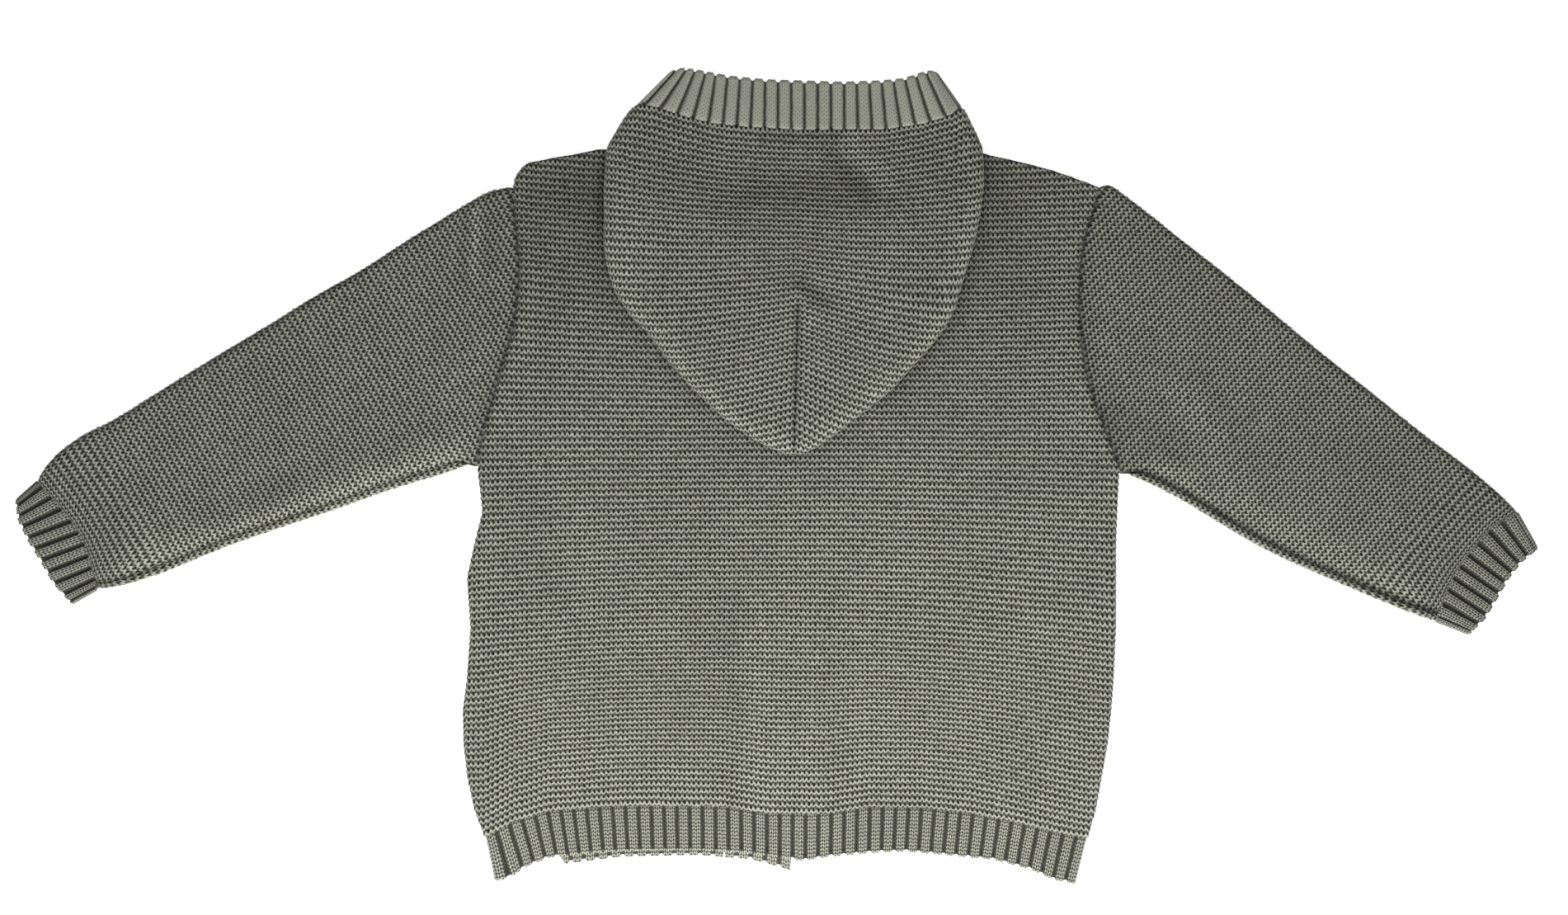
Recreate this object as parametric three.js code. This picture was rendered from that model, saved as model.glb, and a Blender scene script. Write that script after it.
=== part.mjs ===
// Hooded baby cardigan in garter stitch, laid flat with its front down and its back up.
// Millimetres, +Z up. The surface it lies on is z = 0, +Y runs from the hem to the neck,
// and the origin is the middle of the outline. Left and right are the sides of this view.
import * as THREE from 'three';

// Cloth
const garterWall = 2.6;
const ribWall = 2.2;
const seamGap = 0.4;
const ribDepth = 0.8;
const bodyRibPitch = 5.6;
const cuffRibs = 11;
const hoodRibs = 24;

// Fastening
const bandWidth = 28;
const buttonCount = 5;
const buttonRadius = 7.5;
const buttonThickness = 1.8;
const firstButton = -138;
const lastButton = 98;

// Heights of the layers that lie on each other
const leftBandBase = buttonThickness + 0.3;
const rightBandBase = leftBandBase + ribWall + 0.3;
const backBase = garterWall + seamGap;
const backRidge = rightBandBase + 0.1;
const backLoft = 0.6;
const hoodLift = 0.5;
const hoodDepth = 9;
const hoodMouthTop = 11;
const hoodBandDrop = 1.9;

// Heights along the body where something starts or ends
const sideBottom = -153;
const hemCurveEnd = -50;
const frontNeck = 112;
const hoodSlopeStart = 104;
const bodyTop = 138.5;
const hoodLowerEnd = 137.5;
const hoodSagStart = 97;
const hoodMouth = 157.5;

// Centre line of the overlapping bands: its x at the hem and at the front neck
const bandHem = { x: -8, y: -166 };
const bandNeck = { x: 8, y: frontNeck };

// Body sections: height, left edge, right edge
const bodySections = [
  [sideBottom, -123.5, 132], [-141, -128, 135.5], [-127, -131, 138], [-113, -132.5, 140.5],
  [-99, -132.8, 142], [-85, -131, 143], [-64, -129.6, 144], [-43, -131, 144],
  [-29, -128, 144], [-15, -124.5, 144.5], [3, -126.5, 145.3], [14, -125, 141.5],
  [25.5, -122, 137], [37.5, -118.5, 132.8], [50, -115, 130], [62, -111.3, 128.6],
  [75, -109.3, 128], [88, -108.6, 128.5], [100, -109.3, 130], [111, -110.7, 133.5],
  [122.5, -111.5, 137], [127, -110.5, 125], [130, -108.5, 116], [133, -105.5, 104.5],
  [136, -91, 91], [bodyTop, -76, 82],
];

// Seam between the back and its ribbed hem: x, y
const hemSeam = [
  [-123.5, -153], [-111, -146], [-96, -141.5], [-66, -139.5], [-22.5, -139.3], [-3, -142.3],
  [20.5, -142.5], [38.5, -140], [61, -140.3], [82, -142.5], [102, -146.5], [117.5, -150.5], [132, -153.4],
];

// Lower edge of the back hem: x, y
const hemEdge = [
  [-120.5, -171], [-113.5, -170], [-106, -165], [-96, -161], [-72, -158.5], [-32, -157.5], [-12.5, -158.5],
  [5, -161], [11, -162], [20.5, -160.5], [40.5, -159], [55, -158.5], [71.5, -160], [92, -162],
  [107.5, -166], [117.5, -170.5], [127, -172.3],
];

// Lower edge of the left front, which shows below the back hem, and of the right front: x, y
const leftFrontEdge = [
  [-119, -165], [-102, -160], [-91.5, -160.5], [-90, -164], [-66, -161], [-32, -160.2],
  [-11, -161.8], [-0.5, -164.5], [6, -166.4],
];
const rightFrontEdge = [[-22, -158], [11, -158.5], [55, -156], [92, -159], [117, -167], [126, -169]];
const frontHemSeam = -146;

// Front necklines: height, edge of the left front, edge of the right front
const frontNeckline = [
  [frontNeck, -6.4, 22.4], [115.6, -6.8, 22.8], [122.5, -21, 37], [127.3, -30, 46],
  [133, -37.6, 53.6], [bodyTop, -44.7, 60.6],
];

// Sleeve sections from armhole to cuff: upper edge x and y, lower edge x and y, height of the flat tube
const leftSleeve = [
  [-112.3, 123, -127, 5.5, 5.9], [-117.5, 122, -130.5, 4.5, 6.1], [-123, 120.5, -134, 3.4, 6.3],
  [-133.5, 114.5, -140, 1.3, 6.6], [-144, 108, -146, -0.7, 6.8], [-156, 100.6, -155, -3.3, 7],
  [-175.5, 88, -168, -7.5, 7.3], [-196.5, 76, -184, -13.3, 7.6], [-217.5, 63, -200, -18.7, 7.6],
  [-238.5, 50.5, -216, -24, 7.6], [-259.5, 37.5, -232, -29.7, 7.6], [-280.5, 24.5, -250, -37, 7.4],
  [-294, 18, -264, -43, 7.2], [-304, 12, -274, -46.4, 7], [-310.5, 5, -281, -47.5, 6.8],
  [-313, -2.5, -288, -47.5, 6.5],
];
const rightSleeve = [
  [137.8, 123.3, 145.8, 2.5, 5.9], [141.5, 123.6, 149, 0.8, 6.1], [145.5, 121.2, 152, -0.6, 6.3],
  [153, 115.5, 158, -3.2, 6.6], [160.5, 109.7, 165, -6.7, 6.8], [168.5, 103.2, 173, -11, 7],
  [188.5, 87.5, 188.5, -20.5, 7.3], [209.5, 70.5, 203, -29, 7.6], [230.5, 53, 217, -36, 7.6],
  [251.5, 36.5, 231, -42.2, 7.6], [272.5, 19.5, 246, -48.7, 7.6], [288, 8, 259, -54.5, 7.4],
  [299, -0.5, 267, -58, 7.2], [306, -6.3, 273, -60.5, 7], [311.5, -12, 277, -61.3, 6.8],
  [314, -15.5, 279.7, -61.2, 6.5],
];

// Cuffs from their upper to their lower side: share, seam x and y, open edge x and y
const leftCuff = [
  [0, -313, -2.5, -322, -10.5], [0.2, -305.5, -10.5, -320.7, -18.5], [0.4, -297.5, -20, -316.5, -27],
  [0.6, -292.5, -29, -311, -36], [0.8, -290, -38.5, -306, -45], [1, -288, -47.5, -298.5, -53.5],
];
const rightCuff = [
  [0, 314, -15.5, 322.3, -30.5], [0.2, 303, -21.5, 315.5, -36], [0.4, 294.5, -31, 310, -43],
  [0.6, 288, -40, 305, -51.5], [0.8, 284, -49.5, 300, -60], [1, 279.7, -61.2, 293.5, -66.5],
];
const cuffHeight = 6.5;

// Hood sections from its point to its mouth: height, left edge, right edge,
// and how far its under side there lies over the surface, where it no longer lies on the back
const hoodSections = [
  [10, 2, 12.5], [12.5, -4, 18], [17.5, -13, 25], [26, -24, 36], [36, -34.5, 48.5], [47.5, -45, 59],
  [58, -52.5, 68], [69, -62.5, 75], [81, -69.5, 78.7], [97, -73, 83.5], [111, -73, 86.5], [124.5, -73, 88],
  [hoodLowerEnd, -72, 87.6, 6.2], [140.2, -71.2, 87, 6.2], [142.8, -70, 86, 3.2], [146.4, -68, 84.6, 0.3],
  [151.5, -65, 82, 0], [hoodMouth, -60.5, 79.3, 0],
];
const hoodSeam = { x: 9.2, y: 76, lean: 0.026 };

// Seam between the hood and its ribbed band, and the band's free edge: x, y
const bandSeam = [
  [-60.5, 157.9], [-52, 157], [-41.5, 153.5], [-25.5, 149.5], [-14.5, 148.5], [10, 147],
  [45.5, 147], [61.5, 149.5], [75, 153.5], [79.3, 156.5],
];
const bandEdge = [
  [-45, 171.3], [-40.5, 172.5], [-35.5, 172], [-19.5, 169], [-4, 167.5], [27.5, 166.5], [43.5, 167],
  [54, 168], [64.5, 171.5], [68.5, 171.5],
];

// Hood band from the front neck round one corner of the mouth: seam x, y, z, free edge x, y, z,
// and the direction its outer side faces, in degrees from +X towards +Z
const leftBandTurn = [
  [7.6, 112.9, 1.1, 7.6, 131, 1.1, 270], [-9.6, 118, 1.1, -4, 134.5, 1.1, 270],
  [-29.6, 128.2, 1.1, -20, 143.5, 1.1, 270], [-44.4, 139.8, 1.1, -33, 152.5, 1.1, 270],
  [-50.4, 151.5, 1.1, -39.5, 161, 1.1, 270], [-52.4, 158.5, 1.1, -41.2, 167.5, 1.1, 270],
  [-57.4, 158.6, 2.6, -43.4, 170, 2.2, 225], [-58.9, 158.7, 5.6, -44.4, 171, 4.6, 180],
  [-57.8, 158.8, 8.6, -43.8, 171.5, 6.9, 135],
];
const rightBandTurn = [
  [8.4, 112.9, 1.1, 8.4, 131, 1.1, 270], [25.6, 118, 1.1, 20, 134.5, 1.1, 270],
  [45.6, 128.2, 1.1, 36, 143.5, 1.1, 270], [60.4, 139.8, 1.1, 49, 152.5, 1.1, 270],
  [68.2, 151.5, 1.1, 57.5, 161, 1.1, 270], [71.2, 158.3, 1.1, 63, 167.5, 1.1, 270],
  [76.4, 158.2, 2.6, 66.4, 170, 2.2, 315], [77.9, 158, 5.6, 67.5, 171, 4.6, 0],
  [76.9, 157.8, 8.6, 66.8, 171.3, 6.9, 45],
];
const bandTopSeam = [-55.5, 75];
const bandTopEdge = [-41.5, 65.5];

// Soft folds in the upper cloth: start x and y, end x and y, half width, rise
const backFolds = [
  [-96, -60, -84, -128, 9, 0.7], [84, -62, 96, -130, 10, 0.7], [-118, 0, -96, -22, 9, 0.6],
];
const sleeveFolds = [
  [-121.5, 118, -120.5, 86, 4.5, 1.9], [-120.5, 86, -127, 50, 6, 1.1], [-214, -2, -236, -14, 10, -0.8],
  [-188, 8, -160, 22, 12, 0.8], [166, 34, 190, -8, 7, -0.9], [180, 38, 202, 2, 8, 0.8],
  [150, 96, 146, 60, 7, 0.8], [-282, -6, -262, 18, 9, -0.7], [262, -22, 282, -2, 9, -0.7],
];
const hoodFolds = [
  [22, 143, 48, 121, 7, -1.5], [9.5, 81, 9.5, 78, 4, 1.2], [-62, 128, -66, 96, 8, 0.6],
];
const hoodSeamGroove = 1;

const yarn = new THREE.MeshStandardMaterial({ color: 0x7c7d71, roughness: 0.95, metalness: 0 });
const ribYarn = new THREE.MeshStandardMaterial({ color: 0x84857a, roughness: 0.95, metalness: 0 });
const buttonResin = new THREE.MeshStandardMaterial({ color: 0x6f7166, roughness: 0.5, metalness: 0 });

const { clamp, lerp, degToRad } = THREE.MathUtils;

// A column of a table, read between its rows by the first column.
function lookUp(table, key, column = 1) {
  let row = 0;
  while (row < table.length - 2 && key > table[row + 1][0]) row += 1;
  const [low, high] = [table[row], table[row + 1]];
  return lerp(low[column], high[column], clamp((key - low[0]) / (high[0] - low[0]), 0, 1));
}

// 1 up to 0, then a half cosine down to 0 at 1.
function easeOff(share) {
  return 0.5 + 0.5 * Math.cos(Math.PI * clamp(share, 0, 1));
}

// Height that a list of soft folds adds at a point of the plan.
function foldRise(folds, x, y) {
  let rise = 0;
  for (const [startX, startY, endX, endY, width, height] of folds) {
    const [runX, runY] = [endX - startX, endY - startY];
    const share = clamp(((x - startX) * runX + (y - startY) * runY) / (runX ** 2 + runY ** 2), 0, 1);
    const distance = Math.hypot(x - startX - share * runX, y - startY - share * runY);
    rise += height * Math.exp(-((distance / width) ** 2));
  }
  return rise;
}

// A closed wall of cloth. outer and inner hold rows of points; ring joins each row's ends,
// keep leaves cells out, and close puts a lid on the first row in place of its rim.
function clothWall(name, material, { outer, inner, ring = false, keep = () => true, close = false }) {
  const rows = outer.length;
  const columns = outer[0].length;
  const cellColumns = ring ? columns : columns - 1;
  const points = [...outer.flat(), ...inner.flat()];
  const shift = rows * columns;
  const faces = [];
  const quad = (a, b, c, d) => faces.push(a, b, c, a, c, d);
  const index = (row, column) => row * columns + (column % columns);
  const isCell = (row, column) => {
    const wrapped = ring ? (column + cellColumns) % cellColumns : column;
    return row >= 0 && row < rows - 1 && wrapped >= 0 && wrapped < cellColumns && keep(row, wrapped);
  };
  for (let row = 0; row < rows - 1; row += 1) {
    for (let column = 0; column < cellColumns; column += 1) {
      if (!isCell(row, column)) continue;
      const [a, b] = [index(row, column), index(row, column + 1)];
      const [c, d] = [index(row + 1, column + 1), index(row + 1, column)];
      quad(a, b, c, d);
      quad(a + shift, d + shift, c + shift, b + shift);
      if (!isCell(row - 1, column) && !(close && row === 0)) quad(b, a, a + shift, b + shift);
      if (!isCell(row + 1, column)) quad(d, c, c + shift, d + shift);
      if (!isCell(row, column - 1)) quad(a, d, d + shift, a + shift);
      if (!isCell(row, column + 1)) quad(c, b, b + shift, c + shift);
    }
  }
  if (close) {
    for (const [start, turn] of [[0, 1], [shift, -1]]) {
      const lid = points.slice(start, start + columns);
      const middle = points.length;
      points.push([0, 1, 2].map((axis) => lid.reduce((sum, point) => sum + point[axis], 0) / columns));
      for (let column = 0; column < columns; column += 1) {
        const pair = [start + column, start + ((column + 1) % columns)];
        faces.push(middle, ...(turn > 0 ? pair.reverse() : pair));
      }
    }
  }
  const geometry = new THREE.BufferGeometry();
  geometry.setAttribute('position', new THREE.Float32BufferAttribute(points.flat(), 3));
  geometry.setIndex(volume(points, faces) < 0 ? faces.reverse() : faces);
  geometry.computeVertexNormals();
  const mesh = new THREE.Mesh(geometry, material);
  mesh.name = name;
  return mesh;
}

function volume(points, faces) {
  let sum = 0;
  for (let face = 0; face < faces.length; face += 3) {
    const [a, b, c] = [0, 1, 2].map((corner) => new THREE.Vector3(...points[faces[face + corner]]));
    sum += a.dot(b.cross(c));
  }
  return sum;
}

// A sheet whose upper and lower sides share their plan.
function sheet(name, material, rows, top, base) {
  const outer = rows.map((row) => row.map(([x, y, tag]) => [x, y, top(x, y, tag)]));
  const inner = rows.map((row) => row.map(([x, y, tag]) => [x, y, base(x, y, tag)]));
  return clothWall(name, material, { outer, inner });
}

// Plan x of the centre of the overlapping bands at a height.
function bandCentre(y) {
  return lerp(bandHem.x, bandNeck.x, (y - bandHem.y) / (bandNeck.y - bandHem.y));
}

function ridgeFade(y) {
  return easeOff((y - frontNeck) / (bodyTop - frontNeck));
}

// Base of the left front: it rises to its band, which lies on the buttons.
function leftFrontBase(x, y) {
  const distance = Math.abs(x - bandCentre(y)) - bandWidth / 2;
  return leftBandBase * easeOff(distance / 26) * ridgeFade(y);
}

// Base of the right front: it rises to its band, which lies on the left one.
function rightFrontBase(x, y) {
  const distance = Math.abs(x - bandCentre(y)) - bandWidth / 2;
  return rightBandBase * easeOff(distance / 31) * ridgeFade(y);
}

// Base of the back, which lies on both fronts and rises in a soft ridge over the bands.
function backUnder(x, y) {
  const distance = Math.abs(x - bandCentre(y)) - bandWidth / 2 - 3;
  const width = x < bandCentre(y) ? 34 : 38;
  const ridge = backRidge * easeOff(distance / width) * ridgeFade(y);
  const [left, right] = [lookUp(bodySections, y, 1), lookUp(bodySections, y, 2)];
  const inside = clamp(Math.min(x - left, right - x) / 30, 0, 1);
  const loft = backLoft * (1 - easeOff(inside)) * ridgeFade(y);
  return backBase + ridge + loft + Math.max(0, foldRise(backFolds, x, y)) * (1 - easeOff(inside));
}

function backTop(x, y) {
  return backUnder(x, y) + garterWall;
}

// Columns of the body beside the band centre, shared by the layers so that they stay clear.
const ridgeColumns = [-51, -40, -31, -24, -17, -8, 0, 8, 17, 25, 33, 42, 55];
const roundedEdge = 1.2;

// Rows of the back in plan, each point marked where it is on a rounded side edge.
function backPlan() {
  const hemBow = (x) => lookUp(hemSeam, x) - sideBottom;
  return bodySections.map(([height, left, right]) => {
    const centre = bandCentre(height);
    const [first, last] = [centre + ridgeColumns[0], centre + ridgeColumns.at(-1)];
    const xs = [left, left + roundedEdge];
    for (const share of [0.3, 0.65]) xs.push(lerp(left + roundedEdge, first, share));
    for (const offset of ridgeColumns) xs.push(centre + offset);
    for (const share of [0.35, 0.7]) xs.push(lerp(last, right - roundedEdge, share));
    xs.push(right - roundedEdge, right);
    const bowShare = easeOff((height - sideBottom) / (hemCurveEnd - sideBottom)) ** 1.5;
    return xs.map((x, column) => {
      const isEdge = column === 0 || column === xs.length - 1;
      return [x, height + hemBow(x) * bowShare, isEdge];
    });
  });
}

function backPanel(rows) {
  const rounding = (isEdge) => (isEdge ? 0.7 : 0);
  return sheet('back_panel', yarn, rows,
    (x, y, isEdge) => backTop(x, y) - rounding(isEdge),
    (x, y, isEdge) => backUnder(x, y) + rounding(isEdge) / 2);
}

// Columns of ribs between two ends: share along, and 1 on a rib or 0 in the recess beside it.
function ribColumns(count) {
  const columns = [];
  for (let rib = 0; rib < count; rib += 1) {
    for (const [offset, isRib] of [[0.05, 1], [0.6, 1], [0.72, 0], [0.93, 0]]) {
      columns.push([(rib + offset) / (count - 0.33), isRib]);
    }
  }
  return columns.slice(0, -2);
}

// The back's ribbed hem, from the lowest row of the back.
function backHem(lowestRow) {
  const count = Math.round((hemSeam.at(-1)[0] - hemSeam[0][0]) / bodyRibPitch) + 1;
  const columns = ribColumns(count);
  const seamRow = columns.map(([share, isRib]) => {
    const x = lerp(hemSeam[0][0] + 0.6, hemSeam.at(-1)[0] - 0.6, share);
    return [x, lookUp(lowestRow, x) - seamGap, isRib];
  });
  const edgeRow = columns.map(([share, isRib]) => {
    const x = lerp(hemEdge[0][0], hemEdge.at(-1)[0], share);
    return [x, lookUp(hemEdge, x), isRib];
  });
  const base = (x, y) => backUnder(x, Math.max(y, sideBottom)) + 0.1;
  return sheet('back_hem', ribYarn, [seamRow, edgeRow],
    (x, y, isRib) => base(x, y) + ribWall - ribDepth * (1 - isRib), base);
}

// One front: side is 1 for the left front and 2 for the right front in the body's tables.
function frontPanel(name, side, baseOf) {
  const isLeft = side === 1;
  const heights = [frontHemSeam, ...bodySections.slice(1, 19).map(([height]) => height)];
  const offsets = ridgeColumns.filter((offset) => Math.abs(offset) > bandWidth / 2 + 1)
    .filter((offset) => (offset < 0) === isLeft);
  const inset = isLeft ? 1.5 : -1.5;
  const bandSide = (bandWidth / 2 + seamGap) * (isLeft ? -1 : 1);
  const shares = (height) => {
    const outerX = lookUp(bodySections, height, side) + inset;
    const innerX = bandCentre(height) + bandSide;
    const xs = offsets.map((offset) => bandCentre(height) + offset);
    const far = isLeft ? xs[0] : xs.at(-1);
    const between = [0, 0.35, 0.7].map((share) => lerp(outerX, far, share));
    const all = isLeft ? [...between, ...xs, innerX] : [innerX, ...xs, ...between.reverse()];
    return all.map((x) => (x - outerX) / (innerX - outerX));
  };
  const rows = heights.map((height) => {
    const outerX = lookUp(bodySections, height, side) + inset;
    const innerX = bandCentre(height) + bandSide;
    return shares(height).map((share) => [lerp(outerX, innerX, share), height]);
  });
  for (const [height, ...edges] of frontNeckline) {
    const outerX = lookUp(bodySections, height, side) + inset;
    rows.push(shares(frontNeck).map((share) => [lerp(outerX, edges[side - 1], share), height]));
  }
  return sheet(name, yarn, rows, (x, y) => baseOf(x, y) + garterWall, baseOf);
}

function frontHem(name, side, edge, baseOf) {
  const isLeft = side === 1;
  const bandX = (y) => bandCentre(y) + (bandWidth / 2 + seamGap) * (isLeft ? -1 : 1);
  const sideX = isLeft ? bodySections[0][1] + 3 : bodySections[0][2] - 3;
  const edgeX = isLeft ? edge[0][0] : edge.at(-1)[0];
  const ends = (y, outerX) => (isLeft ? [outerX, bandX(y)] : [bandX(y), outerX]);
  const count = Math.round(Math.abs(sideX - bandX(frontHemSeam)) / bodyRibPitch);
  const row = (y, outerX, heightAt) => ribColumns(count).map(([share, isRib]) => {
    const x = lerp(...ends(y, outerX), share);
    return [x, heightAt(x), isRib];
  });
  const rows = [
    row(frontHemSeam, sideX, () => frontHemSeam - seamGap),
    row(edge[0][1], edgeX, (x) => lookUp(edge, x)),
  ];
  return sheet(name, ribYarn, rows,
    (x, y, isRib) => baseOf(x, y) + ribWall - ribDepth * (1 - isRib), baseOf);
}

function buttonBand(name, base, bottomOf) {
  const bottom = [-1, 1].map((edge) => {
    const x = bandHem.x + edge * (bandWidth / 2);
    return [x, bottomOf(x)];
  });
  const rows = [bottom];
  for (let step = 1; step <= 6; step += 1) {
    const y = lerp(bottomOf(bandHem.x), frontNeck, step / 6);
    rows.push([-1, 1].map((edge) => [bandCentre(y) + edge * (bandWidth / 2), y]));
  }
  const baseAt = (x, y) => base * ridgeFade(y);
  return sheet(name, ribYarn, rows, (x, y) => baseAt(x, y) + ribWall, baseAt);
}

function button(number) {
  const y = lerp(firstButton, lastButton, number / (buttonCount - 1));
  const profile = [
    [0, 0.5], [buttonRadius - 2.2, 0.5], [buttonRadius - 1.6, 0], [buttonRadius - 0.4, 0],
    [buttonRadius, 0.5], [buttonRadius - 0.6, buttonThickness], [0, buttonThickness],
  ];
  const geometry = new THREE.LatheGeometry(profile.map(([r, z]) => new THREE.Vector2(r, z)), 20);
  geometry.rotateX(Math.PI / 2);
  const mesh = new THREE.Mesh(geometry, buttonResin);
  mesh.name = `button_${number + 1}`;
  mesh.position.set(bandCentre(y), y, 0);
  return mesh;
}

// Points round a flat tube. Each is a place between its two edges, as a share or as a distance
// from one of them, and its share of the height; the wall goes inwards from there.
const tubeEdge = [[0, 0.5], [1, 0.86], [3.2, 1]];
const underarmRoll = [[9, 1, 0], [5.6, 1, 1.2], [3, 0.97, 0], [1, 0.84, 0], [0, 0.5, 0]];
const tubeShares = [0.18, 0.34, 0.5, 0.66, 0.8];

function tubeRing(plan, width, height, rise) {
  const spots = [];
  for (const [distance, level] of tubeEdge) spots.push([distance / width, level, 0]);
  for (const share of tubeShares) spots.push([share, 1, 0]);
  for (const [distance, level, dip] of underarmRoll) spots.push([1 - distance / width, level, dip]);
  spots.push([1 - 1 / width, 0.14, 0], [1 - 3.2 / width, 0, 0]);
  for (const share of [0.75, 0.5, 0.25]) spots.push([share, 0, 0]);
  spots.push([3.2 / width, 0, 0], [1 / width, 0.14, 0]);
  const wallShare = garterWall / width;
  const [outer, inner] = [[], []];
  for (const [share, level, dip] of spots) {
    const [x, y] = plan(share);
    const lift = level > 0.5 ? (rise(x, y) - dip) * clamp((level - 0.5) * 2, 0, 1) : 0;
    outer.push([x, y, level * height + lift]);
    const insideShare = clamp(share, wallShare * (1 + share * 0.2), 1 - wallShare * (1.2 - share * 0.2));
    const insideLevel = clamp(level * height, garterWall, height - garterWall);
    inner.push([...plan(insideShare), insideLevel + lift]);
  }
  return { outer, inner };
}

function sleeve(name, sections, side, cuff) {
  const last = sections.length - 1;
  const armhole = (share) => {
    const y = lerp(sections[0][1], sections[0][3], share);
    return [lookUp(bodySections, Math.min(y, 122.5), side) + (side === 1 ? -seamGap : seamGap), y];
  };
  const cuffLine = (share) => [lookUp(cuff, share, 1), lookUp(cuff, share, 2)];
  const rings = sections.map(([topX, topY, lowX, lowY, height], index) => {
    const chord = (share, ends) => [lerp(ends[0], ends[2], share), lerp(ends[1], ends[3], share)];
    const nearArmhole = (1 - index / last) ** 2;
    const nearCuff = (index / last) ** 6;
    const plan = (share) => {
      const own = chord(share, [topX, topY, lowX, lowY]);
      const [first, end] = [chord(share, sections[0]), chord(share, sections[last])];
      return own.map((value, axis) => value + (armhole(share)[axis] - first[axis]) * nearArmhole
        + (cuffLine(share)[axis] - end[axis]) * nearCuff);
    };
    const width = Math.hypot(topX - lowX, topY - lowY);
    const fade = Math.min(1, index / 2, (last - index) / 2);
    return tubeRing(plan, width, height, (x, y) => foldRise(sleeveFolds, x, y) * fade);
  });
  return clothWall(name, yarn, {
    outer: rings.map(({ outer }) => outer), inner: rings.map(({ inner }) => inner), ring: true,
  });
}

function cuff(name, table) {
  const along = (share, reach) => [0, 1].map((axis) => {
    const seamAt = lookUp(table, share, 1 + axis);
    const edgeAt = lookUp(table, share, 3 + axis);
    const length = Math.hypot(lookUp(table, share, 3) - lookUp(table, share, 1),
      lookUp(table, share, 4) - lookUp(table, share, 2));
    return lerp(seamAt, edgeAt, lerp(1.5 * seamGap / length, 1, reach));
  });
  const rings = [0, 1].map((reach) => {
    const [outer, inner] = [[], []];
    const width = Math.hypot(...[0, 1].map((axis) => along(1, reach)[axis] - along(0, reach)[axis]));
    const wallShare = ribWall / width;
    const add = (share, z, insideZ) => {
      outer.push([...along(share, reach), z]);
      inner.push([...along(clamp(share, wallShare, 1 - wallShare), reach), insideZ]);
    };
    const top = cuffHeight - ribWall;
    add(0, cuffHeight / 2, cuffHeight / 2);
    for (const [share, isRib] of ribColumns(cuffRibs)) {
      add(lerp(1.3 * wallShare, 1 - 1.3 * wallShare, share), cuffHeight - ribDepth * (1 - isRib), top);
    }
    add(1, cuffHeight / 2, cuffHeight / 2);
    for (const share of [0.93, 0.7, 0.5, 0.3, 0.07]) add(share, 0, ribWall);
    return { outer, inner };
  });
  return clothWall(name, ribYarn, {
    outer: rings.map(({ outer }) => outer), inner: rings.map(({ inner }) => inner), ring: true,
  });
}

function seamX(y) {
  return hoodSeam.x - hoodSeam.lean * (hoodSeam.y - y);
}

// Height of the hood's upper cloth above the surface, before its edges round off.
function hoodTop(x, y) {
  const domed = backTop(x, Math.min(y, bodyTop)) + hoodLift + hoodDepth + foldRise(hoodFolds, x, y);
  const toMouth = 1 - easeOff((y - hoodSlopeStart) / (lookUp(bandSeam, x) - hoodSlopeStart));
  return lerp(domed, hoodMouthTop, toMouth);
}

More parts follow.
